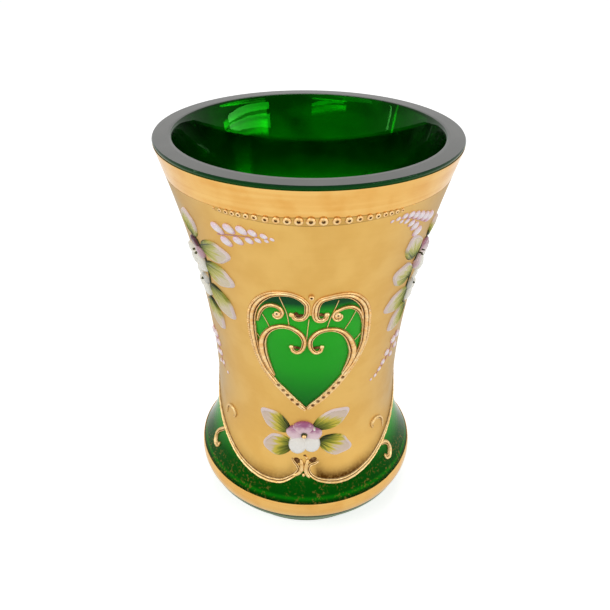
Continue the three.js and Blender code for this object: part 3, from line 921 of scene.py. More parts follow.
def add_leaf(draft: Draft, oval: Oval, look: Look, kind: int, lean: float) -> None:
    """Adds a leaf with a raised rim, a hollow middle and low veins.

    Args:
        draft: the mesh to add to.
        oval: the leaf's outline and height.
        look: the finish.
        kind: the leaf's number, which varies its streaks.
        lean: how far its green runs up one side, negative for the other side.
    """
    levels = np.array([0.06, 0.16, 0.28, 0.4, 0.52, 0.62, 0.7, 0.76, 0.81, 0.86, 0.9, 0.94, 0.97, 0.99, 1.0])
    across, z, along, aside = oval.grid(levels, 56)
    level = levels[:, None]
    rim = np.exp(-(((level - 0.87) / 0.085) ** 2)) * (0.45 + 0.55 * smoothstep(-1.0, 0.2, along))
    shut = np.sqrt(np.clip(1 - level**14, 0, 1))
    fan = np.arctan2(aside, along + 1.25)
    veins = 0.1 * np.sin(fan * 19 + kind) * (1 - level**4)
    off = FORM.gold_top + oval.height * shut * (0.4 + 0.6 * rim + veins)
    ripe = (along + 1) / 2 + lean * aside
    draft.pad(across, z, off, look, along=ripe, edge=level, fan=fan, kind=kind)


def add_petal(draft: Draft, oval: Oval, look: Look, cup: float = 0.35, crowned: bool = False) -> None:
    """Adds a thick petal that is fullest near its outer edge.

    Args:
        draft: the mesh to add to.
        oval: the petal's outline and height.
        look: the finish.
        cup: how much lower the petal is at its foot.
        crowned: whether its edge tone lies along its top, and not round its tip.
    """
    levels = np.sin(np.linspace(0.05, 1, 14) * np.pi / 2)
    across, z, along, aside = oval.grid(levels, 40)
    dome = np.clip(1 - levels[:, None] ** 4, 0, 1) ** 0.5
    full = 1 - cup * (1 - smoothstep(-1.0, 0.5, along))
    groove = 0.07 * np.exp(-((aside / 0.16) ** 2)) * smoothstep(-0.9, 0.4, along)
    off = FORM.gold_top + oval.height * dome * (full - groove)
    draft.pad(across, z, off, look, along=portion(z.min(), z.max(), z) if crowned else (along + 1) / 2)


def add_dome(draft: Draft, oval: Oval, look: Look, lift: float = 0.0) -> None:
    """Adds a smooth rounded bead or bud.

    Args:
        draft: the mesh to add to.
        oval: its outline and height.
        look: the finish.
        lift: height of what it stands on, above the gilding.
    """
    levels = np.sin(np.linspace(0.08, 1, 9) * np.pi / 2)
    across, z, along, _ = oval.grid(levels, 24)
    dome = np.sqrt(np.clip(1 - levels[:, None] ** 2, 0, 1)) + 0 * along
    draft.pad(across, z, FORM.gold_top + lift + oval.height * dome, look, along=(along + 1) / 2)


def add_dark_spot(draft: Draft, oval: Oval, look: Look) -> None:
    """Adds a thin patch of painted shade, dark brown, such as fills the eye of a curl.

    Args:
        draft: the mesh to add to.
        oval: its outline and height.
        look: the gold whose dark tone the patch takes.
    """
    levels = np.linspace(0.1, 1, 5)
    across, z, along, _ = oval.grid(levels, 24)
    off = FORM.gold_top + oval.height * (1 - levels[:, None] ** 4) + 0 * along
    draft.pad(across, z, off, look, hollow=1)


def add_ring_bead(draft: Draft, place: Point, size: float, height: float) -> None:
    """Adds a ring-shaped bead whose sunken middle and outer foot are darkened with painted shade.

    Args:
        draft: the mesh to add to.
        place: its middle on the flat drawing.
        size: its diameter.
        height: its height.
    """
    levels = np.linspace(0.06, 1, 14)
    across, z, along, _ = round_spot(place, size, height).grid(levels, 28)
    level = levels[:, None] + 0 * along
    ring = np.sqrt(np.clip(1 - ((level - 0.6) / 0.42) ** 2, 0, 1))
    off = FORM.gold_top + height * np.maximum(ring, 0.12 * (1 - level))
    # Painted shade: dark in the bead's sunken middle and at its outer foot.
    hollow = np.maximum(1 - smoothstep(0.3, 0.5, level), 0.4 * smoothstep(0.86, 1.0, level))
    draft.pad(across, z, off, Look.RAISED, hollow=hollow)


@dataclass(frozen=True)
class Ridge:
    """One rounded crest of a ribbon, in shares of its half width and its height."""

    centre: float
    half: float
    rise: float


class Section(Enum):
    """Cross-sections of the raised gold, from the inner side of a curve to its outer side."""

    HEART = (Ridge(-0.84, 0.16, 0.6), Ridge(-0.14, 0.42, 1.0), Ridge(0.64, 0.34, 0.74))
    BAND = (Ridge(-0.76, 0.24, 0.62), Ridge(0.24, 0.62, 1.0))
    LINE = (Ridge(-0.58, 0.4, 0.85), Ridge(0.56, 0.42, 1.0))
    CURL = (Ridge(0.3, 0.68, 1.0), Ridge(-0.74, 0.26, 0.6))
    PLAIN = (Ridge(0.0, 1.0, 1.0),)

    def rise(self, x: Array) -> Array:
        """The height, from 0 to 1, at places across the ribbon from -1 to 1."""
        crests = [r.rise * np.sqrt(np.clip(1 - ((x - r.centre) / r.half) ** 2, 0, 1)) for r in self.value]
        return np.maximum(np.max(crests, axis=0), 0.22 * (np.abs(x) < 0.985))


@dataclass(frozen=True)
class Ribbon:
    """A raised line of gold along a drawn path of stations: across, height, width, with painted shade in its
    grooves and along its edges.
    """

    path: Path
    section: Section
    rise: float = 0.42
    outer: int = 1
    ripple: float = 0.0
    # Painted shade: how dark the edges are, and an even dark tone over the whole line.
    edge_stain: float = 0.3
    overall_shade: float = 0.0
    dots: tuple[Point, ...] = ()
    dot_radius: float = 0.8
    under: float = 0.1
    step: float = 0.3
    across_steps: int = 29

    def draw(self, draft: Draft, look: Look, sign: int = 1) -> None:
        """Lays the ribbon on the body.

        Args:
            draft: the mesh to add to.
            look: the finish.
            sign: 1 as drawn, -1 mirrored.
        """
        stations = smooth_path(self.path, self.step)
        gone = np.arange(len(stations)) * self.step
        direction = np.gradient(stations[:, :2], axis=0)
        direction /= np.linalg.norm(direction, axis=1, keepdims=True)
        width = stations[:, 2]
        from_end = np.minimum(gone, gone[-1] - gone)
        shut = np.sqrt(np.clip(1 - (1 - np.clip(from_end / (width / 2), 0.02, 1)) ** 2, 0, 1))
        x = np.sin(np.linspace(-np.pi / 2, np.pi / 2, self.across_steps))
        half = (width * shut / 2)[:, None]
        across = stations[:, :1] - direction[:, 1:] * half * x * self.outer
        z = stations[:, 1:2] + direction[:, :1] * half * x * self.outer
        height = self.section.rise(x)[None, :] + 0 * across
        # Painted shade in the grooves between the crests and along the edges.
        groove = smoothstep(0.62, 0.3, height) * (np.abs(x) < 0.93)
        edges = self.edge_stain * smoothstep(0.94 - 0.36 * self.edge_stain, 1.0, np.abs(x))
        hollow = np.maximum(np.maximum(groove, edges), self.overall_shade)
        # Painted shade: a warmer tone on the outer side.
        flank = smoothstep(0.5, 0.95, x)[None, :] + 0 * across
        if self.ripple:
            strokes = 0.5 + 0.5 * np.sin(gone[:, None] * 2 * np.pi / 0.95 + 2.2 * x)
            reach = smoothstep(0.35, 0.7, x)[None, :] * smoothstep(2.0, 3.0, width)[:, None]
            height = height * (1 - self.ripple * strokes * reach)
            # Painted shade in the hatching strokes.
            hollow = np.maximum(hollow, 0.8 * self.ripple * strokes * reach)
        sway = 1 + 0.06 * np.sin(gone * 1.7) + 0.05 * np.sin(gone * 4.3 + 1.1)
        height = height * sway[:, None]
        for place in self.dots:
            apart = ((across - place[0]) ** 2 + (z - place[1]) ** 2) / self.dot_radius**2
            smoothed = np.exp(-apart / 5)
            dip = np.exp(-apart * apart)
            height = (height * (1 - smoothed) + 0.8 * smoothed) * (1 - 0.8 * dip)
            # Painted shade in the dips of the dots.
            hollow = np.maximum(hollow * (1 - smoothed), smoothstep(0.25, 0.8, dip))
        off = FORM.gold_top + height * (width * shut**0.7)[:, None] * self.rise
        rows, loop = across.shape[0], across.shape[1] + 2
        across, z, off, hollow, flank = (
            np.hstack([sheet, sheet[:, -1:], sheet[:, :1]]) for sheet in (across, z, off, hollow, flank)
        )
        off[:, -2:] = self.under
        faces = ring_faces(rows, loop).tolist()
        faces += [list(range(loop)), list(range(rows * loop - 1, (rows - 1) * loop - 1, -1))]
        corners = FORM.wrap(sign * across.ravel(), z.ravel(), off.ravel(), draft.turn)
        paint = {"hollow": np.clip(hollow, 0, 1).ravel(), "flank": flank.ravel()}
        draft.add(corners, faces, [look] * len(faces), **paint)


NOTCH_PLACE = (1.3, 118.9)
OUTER_HEART = {
    Hand.LEFT: (
        (4.6, 111.0, 1.5), (3.8, 109.2, 1.7), (2.5, 108.9, 1.8), (1.1, 109.4, 1.8), (0.1, 111.2, 1.9),
        (-0.1, 113.3, 1.9), (0.0, 115.5, 1.9), (1.1, 117.3, 1.9), (2.7, 118.8, 1.9), (5.3, 119.9, 2.0),
        (8.0, 119.9, 2.1), (10.8, 119.2, 2.3), (12.9, 117.9, 2.6), (15.0, 115.9, 2.9), (17.1, 112.9, 3.2),
        (18.5, 109.6, 3.4), (19.3, 106.2, 3.5), (19.6, 103.0, 3.6), (19.7, 100.4, 3.6), (19.5, 95.3, 3.4),
        (18.5, 88.8, 2.9), (16.0, 82.6, 2.7), (12.6, 77.6, 2.7), (8.8, 73.6, 2.7), (5.0, 69.4, 2.5),
        (1.5, 65.8, 2.2), (0.0, 64.2, 1.5),
    ),
    Hand.RIGHT: (
        (6.4, 110.9, 1.6), (6.0, 109.0, 1.8), (4.8, 108.3, 2.0), (3.4, 108.8, 2.2), (2.7, 110.7, 2.4),
        (2.7, 112.9, 2.5), (3.0, 115.1, 2.4), (3.8, 116.9, 2.2), (5.0, 117.9, 2.1), (7.0, 118.5, 2.1),
        (8.8, 118.9, 2.1), (10.8, 119.0, 2.3), (13.1, 118.6, 2.6), (15.2, 117.4, 2.9), (17.3, 115.3, 3.1),
        (19.0, 112.8, 3.3), (20.2, 109.7, 3.5), (20.9, 106.4, 3.7), (21.2, 103.6, 3.7), (21.5, 100.3, 3.7),
        (21.5, 94.9, 3.5), (20.1, 89.6, 3.1), (17.6, 84.3, 2.8), (14.0, 79.2, 2.8), (10.0, 74.3, 2.8),
        (5.9, 70.0, 2.6), (2.4, 66.9, 2.3), (0.3, 64.7, 1.6),
    ),
}
DESCENT_START = 4
LOBE_CURL = {
    Hand.LEFT: (
        (17.1, 105.4, 0.8), (15.5, 110.1, 1.3), (13.7, 112.9, 1.4), (11.8, 114.1, 1.5), (10.0, 114.2, 1.5),
        (8.6, 113.2, 1.4), (7.9, 111.5, 1.4), (8.5, 109.6, 1.3), (9.6, 108.8, 1.2), (10.7, 109.2, 1.0),
        (11.0, 110.4, 0.8),
    ),
    Hand.RIGHT: (
        (19.8, 103.6, 0.8), (18.7, 107.7, 1.2), (17.2, 110.6, 1.4), (15.6, 112.3, 1.5), (13.9, 113.2, 1.5),
        (12.3, 113.2, 1.5), (10.6, 112.6, 1.4), (9.1, 111.6, 1.4), (8.6, 110.0, 1.3), (9.2, 108.4, 1.2),
        (10.4, 107.8, 1.1), (11.4, 108.8, 1.0), (11.3, 110.2, 0.8),
    ),
}
INNER_HEART = {
    Hand.LEFT: (
        (5.3, 95.6, 1.3), (4.8, 93.9, 1.6), (3.3, 93.2, 1.7), (1.7, 94.5, 1.7), (0.9, 96.9, 1.8),
        (0.9, 99.2, 1.8), (1.8, 101.5, 1.8), (3.4, 103.4, 1.8), (5.5, 104.8, 1.8), (7.8, 105.1, 1.8),
        (10.5, 104.3, 1.9), (12.9, 102.4, 2.1), (14.8, 99.6, 2.5), (15.9, 96.4, 3.0), (16.1, 93.0, 3.2),
        (15.7, 89.4, 3.0), (14.8, 86.0, 2.5), (13.6, 82.8, 1.8), (12.3, 80.2, 0.8),
    ),
    Hand.RIGHT: (
        (5.5, 95.5, 1.3), (4.8, 93.7, 1.6), (3.3, 93.2, 1.7), (1.8, 94.8, 1.7), (1.2, 97.2, 1.8),
        (1.5, 99.6, 1.8), (2.9, 101.9, 1.8), (4.9, 103.4, 1.8), (7.5, 103.9, 1.8), (9.9, 103.4, 1.9),
        (12.5, 101.7, 2.1), (14.7, 98.8, 2.5), (16.3, 95.3, 3.0), (17.2, 91.9, 3.3), (17.0, 88.6, 3.1),
        (16.2, 86.0, 2.6), (15.0, 83.2, 1.9), (13.8, 81.2, 0.8),
    ),
}
TONGUE_EDGE = (
    (1.9, 35.2, 1.3), (3.2, 33.2, 1.5), (5.6, 31.4, 1.7), (9.0, 30.1, 1.9), (13.0, 29.6, 2.0),
    (17.5, 29.9, 2.0), (22.0, 31.0, 2.0), (28.0, 33.1, 2.0), (34.0, 36.0, 2.0), (40.0, 39.3, 2.0),
    (46.0, 42.8, 1.9), (52.0, 46.6, 1.8), (57.5, 51.6, 1.5), (60.3, 56.5, 1.2), (61.6, 60.8, 0.9),
    (62.6, 64.6, 0.4),
)
TONGUE_HORN = {
    Hand.LEFT: (
        (5.6, 40.2, 0.9), (4.3, 38.2, 1.3), (3.1, 36.8, 1.4), (2.7, 35.5, 1.4), (3.5, 33.9, 1.5),
        (5.1, 32.4, 1.6), (7.1, 31.1, 1.8),
    ),
    Hand.RIGHT: (
        (5.4, 39.2, 0.9), (3.9, 38.2, 1.3), (2.4, 37.7, 1.4), (1.5, 36.9, 1.4), (1.2, 35.5, 1.4),
        (1.8, 33.9, 1.5), (3.0, 32.5, 1.6), (5.2, 31.2, 1.7),
    ),
}
HORN_RIDGE = {
    Hand.LEFT: ((1.9, 39.9, 1.2), (1.4, 37.6, 1.7), (1.6, 35.4, 1.7), (2.8, 33.7, 1.4), (5.0, 32.9, 0.7)),
    Hand.RIGHT: ((1.1, 40.1, 1.2), (0.4, 37.8, 1.7), (0.1, 35.6, 1.7), (0.6, 33.6, 1.4), (1.8, 32.0, 0.8)),
}
FOOT_CURL = {
    Hand.LEFT: (
        (40.4, 39.2, 1.6), (42.8, 36.9, 1.8), (45.3, 34.3, 1.9), (46.2, 31.2, 1.8), (44.7, 28.8, 1.7),
        (42.6, 28.9, 1.5), (42.2, 30.6, 1.2),
    ),
    Hand.RIGHT: (
        (34.6, 35.9, 1.6), (37.0, 35.3, 1.8), (39.4, 33.4, 1.9), (40.0, 30.5, 1.8), (38.4, 28.2, 1.7),
        (36.5, 28.4, 1.5), (36.2, 30.1, 1.2),
    ),
}
FIELD_CURL = {
    Hand.LEFT: (
        (41.4, 46.7, 0.7), (41.0, 49.9, 1.3), (38.8, 52.2, 1.7), (35.9, 52.3, 1.8), (34.5, 50.5, 1.7),
        (35.3, 48.3, 1.3),
    ),
    Hand.RIGHT: (
        (38.6, 42.0, 0.7), (38.6, 45.6, 1.3), (36.5, 48.5, 1.7), (33.3, 49.4, 1.8), (31.2, 48.0, 1.7),
        (31.9, 45.7, 1.3),
    ),
}
HAIRLINES = {
    Hand.LEFT: (
        ((-8.5, 118.3), (-7.5, 114.9), (-6.5, 111.4), (-5.9, 105.7)),
        ((-14.9, 109.2), (-13.8, 106.6), (-12.8, 103.8)),
        ((-17.9, 99.3), (-17.4, 98.2), (-16.9, 97.3)),
    ),
    Hand.RIGHT: (
        ((9.9, 116.9), (9.0, 113.5), (7.8, 109.5), (6.8, 104.7)),
        ((16.3, 110.6), (14.7, 106.3), (13.0, 102.8)),
        ((0.7, 109.0), (0.2, 102.8), (0.0, 99.5)),
        ((19.7, 99.3), (18.6, 97.8), (17.3, 96.5)),
    ),
}
LOBE_BEADS = {
    Hand.LEFT: ((-4.9, 110.9), (-9.6, 110.4), (-9.6, 110.9)),
    Hand.RIGHT: ((6.4, 110.9), (10.1, 109.9), (10.0, 110.2)),
}
LOBE_EYES = {
    Hand.LEFT: (((-3.6, 112.0), (-3.1, 110.2), 1.3), ((-1.1, 110.9), (-3.2, 110.1), 1.2)),
    Hand.RIGHT: (((3.5, 111.3), (5.8, 110.5), 1.3),),
}
V_DOTS = {
    Hand.LEFT: ((10.8, 76.0), (9.0, 73.7), (7.3, 71.6), (5.5, 69.4), (3.4, 67.3)),
    Hand.RIGHT: (
        (14.2, 79.4), (12.6, 77.0), (10.6, 74.8), (8.8, 72.6), (6.8, 70.6), (4.7, 68.8), (2.7, 66.8),
    ),
}


def heart_outline() -> Array:
    """The opening of the heart: the middle lines of its scrolls, shut across the notch.

    Returns:
        The outline's corners, in order.
    """
    right, left = (
        smooth_path([station[:2] for station in OUTER_HEART[hand][DESCENT_START:]], 0.6) * [hand.value, 1]
        for hand in (Hand.RIGHT, Hand.LEFT)
    )
    return np.vstack([right[:-1], left[::-1]])


def tongue_line() -> Array:
    """The gilding's lower edge on the right of a face, from the foot up to the arch."""
    return smooth_path([station[:2] for station in TONGUE_EDGE], 0.8)


@dataclass
class GlassBody:
    """The blown glass, with its ground rim and its ground foot."""

    foot_line: float = 65.0
    rim_rounding: float = 0.35

    def profile(self) -> tuple[list[Point], list[Look]]:
        """The section of the glass, from the underside up the outside and down the inside.

        Returns:
            The section's corners off the axis, and the finish that leads to each and back to the axis.
        """
        form = FORM
        flat = form.hollow_radius - form.hollow_depth
        top, inner_rim = form.height - form.rim_bevel, form.rim_radius - form.rim_wall
        lip = RIM_BAND[1] - 0.2
        bend = form.floor_rounding
        floor_top = form.floor_height + bend
        side = form.inner(floor_top)
        turns = np.linspace(0, np.pi / 2, 14)[1:]
        ground = np.linspace(form.rim_radius - 1.2, inner_rim + self.rim_rounding, 5)
        runs = (
            (Look.FOOT, [(r, form.hollow_depth) for r in (6.0, 12.0, 18.0, flat)]),
            (Look.FOOT, [(form.hollow_radius - 0.4, 0.25), (form.hollow_radius, 0.0)]),
            (Look.GROUND_FOOT, [(form.base_radius - form.base_bevel, 0.0)]),
            (Look.GROUND_FOOT, form.line(form.base_bevel, form.roll_height, 26)),
            (Look.FOOT, form.line(form.roll_height, form.foot_top_height, 18)[1:]),
            (Look.FOOT, form.line(form.foot_top_height, self.foot_line, 47)[1:]),
            (Look.LINING, form.line(self.foot_line, lip, 70)[1:]),
            (Look.LIP, form.line(lip, top, 5)[1:]),
            (Look.LIP, [(form.rim_radius - form.rim_bevel, form.height)]),
            (Look.GROUND_RIM, [(r, form.height) for r in ground]),
            (Look.INSIDE, [(inner_rim, form.height - self.rim_rounding)]),
            (Look.INSIDE, [(form.inner(z), z) for z in np.linspace(form.height - 1, floor_top, 90)]),
            (Look.INSIDE, [(side - bend * (1 - math.cos(t)), floor_top - bend * math.sin(t)) for t in turns]),
            (Look.INSIDE, [(r, form.floor_height) for r in (16.0, 10.0, 5.0)]),
        )
        points = [point for _, part in runs for point in part]
        return points, [look for look, part in runs for _ in part] + [Look.INSIDE]

    @staticmethod
    def open_hearts(draft: Draft) -> None:
        """Gives the glass in the heart openings its own finish.

        Args:
            draft: the turned body.
        """
        gilded = [number for number, look in enumerate(draft.looks) if look is Look.LINING]
        rings = np.array([draft.faces[number] for number in gilded])
        middles = np.vstack(draft.corners)[rings].mean(axis=1) / MM
        for face in Face:
            ahead = math.cos(face.value)
            across = np.arctan2(ahead * middles[:, 0], -ahead * middles[:, 1]) * FORM.art_radius
            found = inside(np.stack([across, middles[:, 2]], axis=1), heart_outline())
            for number in np.array(gilded)[found]:
                draft.looks[number] = Look.HEART

    def build(self) -> None:
        """Makes the glass."""
        draft = Draft()
        draft.lathe(*self.profile(), (FORM.hollow_depth, FORM.floor_height))
        self.open_hearts(draft)
        draft.piece("glass_body", "green_glass", "glass_vase_body")


@dataclass
class Gilding:
    """The matte gold field with its heart windows, and the burnished bands at the rim and the foot."""

    spacing: float = 1.25
    band_steps: int = 22
    band_edge: float = 0.05
    tongue_foot: Point = (0.9, 34.6)
    weld: float = 2e-6

    def band(self, name: str, node: str, low: float, high: float) -> None:
        """Makes a band round the body.

        Args:
            name: the piece's name.
            node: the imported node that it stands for.
            low: height of its lower edge.
            high: height of its upper edge.
        """
        outside = FORM.line(low, high, self.band_steps, FORM.gold_top)
        for end in (0, -1):
            outside[end] = (outside[end][0] - self.band_edge, outside[end][1])
        within = FORM.line(low, high, self.band_steps, FORM.gold_under)[::-1]
        shown, hidden = [Look.BURNISHED] * self.band_steps, [Look.LINING] * (self.band_steps - 1)
        draft = Draft()
        draft.lathe(outside + within, [*shown, *hidden, Look.BURNISHED])
        draft.piece(node, "burnished_gold", name)

    def border(self) -> Array:
        """The outline of the field over one face.

        Returns:
            The outline's corners, from left to right along its lower edge and back along its top.
        """
        right = tongue_line()
        right = right[(right[:, 1] < ARCH_HEIGHT) & (right[:, 0] < QUARTER - 0.5)]
        right = np.vstack([self.tongue_foot, right, (QUARTER, ARCH_HEIGHT)])
        side = np.linspace(ARCH_HEIGHT, FIELD_TOP, 72)
        rise = [(QUARTER, z) for z in side[1:]]
        top = [(across, FIELD_TOP) for across in np.linspace(QUARTER, -QUARTER, 102)[1:]]
        return np.vstack([right[::-1] * [-1, 1], right, rise, top, [(-QUARTER, z) for z in side[-2:0:-1]]])

    def field(self) -> tuple[Array, Array]:
        """The field of one face on the flat drawing, cut into triangles round the heart.

        Returns:
            The corners, and the corner numbers of each triangle.
        """
        border, heart = self.border(), heart_outline()
        columns = np.arange(-QUARTER + self.spacing, QUARTER - self.spacing / 2, self.spacing)
        rows = np.arange(29.0, FIELD_TOP - self.spacing / 2, self.spacing)
        filling = np.stack(np.meshgrid(columns, rows), axis=-1).reshape(-1, 2)
        clear = np.minimum(distance(filling, border), distance(filling, heart)) > self.spacing * 0.45
        filling = filling[inside(filling, border) & ~inside(filling, heart) & clear]
        edges = []
        for start, line in ((0, border), (len(border), heart)):
            edges += [(start + i, start + (i + 1) % len(line)) for i in range(len(line))]
        points = [Vector(point) for point in np.vstack([border, heart, filling])]
        found = delaunay_2d_cdt(points, edges, [], 1, 1e-6)
        flat = np.array([tuple(corner) for corner in found[0]])
        triangles = np.array([face for face in found[2] if len(face) == 3])
        middles = flat[triangles].mean(axis=1)
        return flat, triangles[inside(middles, border) & ~inside(middles, heart)]

    def build(self) -> None:
        """Makes the bands, then wraps the flat field on both faces and gives it its thickness."""
        self.band("rim_band_gilding", "rim_gold_band", *RIM_BAND)
        self.band("foot_band_gilding", "foot_gold_band", *FOOT_BAND)
        flat, triangles = self.field()
        sides = np.vstack([triangles[:, [0, 1]], triangles[:, [1, 2]], triangles[:, [2, 0]]])
        _, first, times = np.unique(np.sort(sides, axis=1), axis=0, return_index=True, return_counts=True)
        rim = sides[first[times == 1]]
        rim = rim[~np.all(np.abs(np.abs(flat[rim][:, :, 0]) - QUARTER) < 1e-4, axis=1)]
        count = len(flat)
        walls = np.stack([rim[:, 0], rim[:, 1], rim[:, 1] + count, rim[:, 0] + count], axis=1)
        faces = [*triangles.tolist(), *walls.tolist(), *(triangles[:, ::-1] + count).tolist()]
        looks = [Look.MATTE] * (len(triangles) + len(walls)) + [Look.LINING] * len(triangles)
        draft = Draft()
        for face in Face:
            skins = [FORM.wrap(*flat.T, off, face.value) for off in (FORM.gold_top, FORM.gold_under)]
            draft.add(np.vstack(skins), faces, looks, hollow=np.tile(self.shade(flat), 2))
        settle(draft.piece("gold_field", "matte_gold", "gold_field_gilding").data, self.weld)

    @staticmethod
    def shade(flat: Array) -> Array:
        """Painted shade: a brown tone along the inner side of the tongue scrolls, stronger on the right.

        Args:
            flat: places on the drawing.

        Returns:
            The tone's strength at each place.
        """
        right = tongue_line()
        apart = distance(flat, np.vstack([right, right * [-1, 1]]))
        across = np.abs(flat[:, 0])
        near = np.exp(-((apart / 3.8) ** 2)) * smoothstep(2.0, 6.0, across)
        stronger = np.where(flat[:, 0] > 0, 1.25, 0.7)
        return np.minimum(near * stronger * (1 - 0.7 * smoothstep(14.0, 36.0, across)), 1.0)


@dataclass
class Scrollwork:
    """The raised gold of one face: bead row, hearts, tongue scrolls, curls and fleur."""

    face: Face
    bead_level: float = 149.7
    bead_places: tuple[float, ...] = (
        -24.0, -22.1, -20.3, -18.5, -16.8, -14.8, -12.7, -10.0, -7.4, -4.8, -2.1, 0.7, 3.6, 6.7, 9.6, 12.2,
        14.8, 16.9, 18.9, 20.6, 22.3, 24.0,
    )
    bead_sizes: tuple[float, ...] = (3.1, 3.05, 2.75, 2.55, 2.35, 2.2, 2.0, 1.85, 1.8, 1.65, 1.4, 1.0)
    middle_bead: int = 11
    hairline_width: float = 0.27

    def start(self) -> Draft:
        """Starts an empty mesh on this face."""
        return Draft(self.face.value)

    @staticmethod
    def spot(draft: Draft, foot: Point, tip: Point, width: float, look: Look) -> None:
        """Adds a patch of painted shade between two places."""
        add_dark_spot(draft, Oval(foot, tip, width, 0.16), look)

    def gold(self, draft: Draft, word: str, hand: Hand | None = None) -> None:
        """Makes a piece of raised gold of this face."""
        draft.piece(f"{self.face.word}_{word}" + (f"_{hand.word}" if hand else ""), "raised_gold")

    def bead_row(self) -> None:
        """The row of ring beads under the rim band, on a low strip."""
        draft = self.start()
        strip = []
        for number, across in enumerate(self.bead_places):
            size = self.bead_sizes[abs(number - self.middle_bead)]
            level = self.bead_level - 0.25 * (self.bead_sizes[0] - size) * (abs(across) < 12)
            add_ring_bead(draft, (across, level), size, size * 0.26)
            strip.append((across, level - size * 0.08, size * 1.08))
        # Painted shade along the strip's edges and over all of it.
        low_strip = Ribbon(tuple(strip), Section.PLAIN, rise=0.05, edge_stain=0.6, overall_shade=0.16)
        low_strip.draw(draft, Look.MATTE)
        self.gold(draft, "bead_row")

    def hearts(self, hand: Hand) -> None:
        """The outer heart with its lobe curl, and the inner heart.

        Args:
            hand: the side of the face.
        """
        look, sign = Look.RAISED, hand.value
        hatching = 0.75 if hand is Hand.LEFT else 0.35
        outer, inner = self.start(), self.start()
        scroll = Ribbon(OUTER_HEART[hand], Section.HEART, 0.32, ripple=hatching, dots=V_DOTS[hand])
        scroll.draw(outer, look, sign)
        Ribbon(LOBE_CURL[hand], Section.CURL, 0.5, outer=-1).draw(outer, look, sign)
        bulb, ball, shade_dot = LOBE_BEADS[hand]
        add_dome(outer, round_spot(bulb, 2.0, 0.95), look)
        add_dome(outer, round_spot(ball, 2.6, 0.75), look)
        # Painted shade: a dark brown dab on the ball at the curl's end.
        add_dome(outer, round_spot(shade_dot, 0.7, 0.1), Look.STAIN, lift=0.78)
        # Painted shade in the eyes of the lobe curls.
        for foot, tip, width in LOBE_EYES[hand]:
            self.spot(outer, foot, tip, width, look)
        for points in HAIRLINES[hand]:
            path = tuple((*point, self.hairline_width) for point in points)
            Ribbon(path, Section.PLAIN, 0.3, under=-0.02, across_steps=9).draw(outer, look)
        self.gold(outer, "outer_heart_scroll", hand)
        Ribbon(INNER_HEART[hand], Section.BAND, 0.4).draw(inner, look, sign)
        add_dome(inner, round_spot((5.4 * sign, 95.8), 1.7, 0.75), look)
        # Painted shade in the eye of the inner heart's curl.
        self.spot(inner, (2.3 * sign, 95.3), (4.8 * sign, 95.6), 1.2, look)
        self.gold(inner, "inner_heart_scroll", hand)

    def tongue(self, hand: Hand) -> None:
        """The tongue scroll with its curls, and the curl on the field.

        Args:
            hand: the side of the face.
        """
        edge, curl = self.start(), self.start()
        path = TONGUE_HORN[hand] + TONGUE_EDGE[3:]
        line = Ribbon(path, Section.LINE, 0.34, outer=-1, edge_stain=0.8)
        line.draw(edge, Look.WORN, hand.value)
        Ribbon(FOOT_CURL[hand], Section.CURL, 0.5).draw(edge, Look.WORN, hand.value)
        foot, tip = ((-4.6, 40.2), (-2.2, 38.4)) if hand is Hand.LEFT else ((4.5, 40.4), (1.6, 38.9))
        # Painted shade in the eye of the horn.
        self.spot(edge, foot, tip, 2.2, Look.WORN)
        self.gold(edge, "tongue_scroll", hand)
        Ribbon(FIELD_CURL[hand], Section.CURL, 0.45, outer=-1).draw(curl, Look.WORN, hand.value)
        self.gold(curl, "field_curl", hand)

    def fleur(self) -> None:
        """The fleur between the tongue scrolls, and the bead in the heart's notch."""
        stem, notch = self.start(), self.start()
        for hand in Hand:
            Ribbon(HORN_RIDGE[hand], Section.PLAIN, 0.6).draw(stem, Look.WORN, hand.value)
        add_dome(stem, round_spot((0.4, 40.8), 1.3, 0.9), Look.WORN)
        add_dome(stem, round_spot((-0.7, 33.2), 1.3, 0.6), Look.WORN)
        # Painted shade above the fleur's upper bead.
        self.spot(stem, (-0.9, 41.6), (0.3, 41.7), 0.8, Look.WORN)
        self.gold(stem, "fleur_stem")
        add_ring_bead(notch, NOTCH_PLACE, 2.1, 0.9)
        self.gold(notch, "notch_bead")

    def build(self) -> None:
        """Makes the face's raised gold."""
        self.bead_row()
        self.fleur()
        for hand in Hand:
            self.hearts(hand)
            self.tongue(hand)


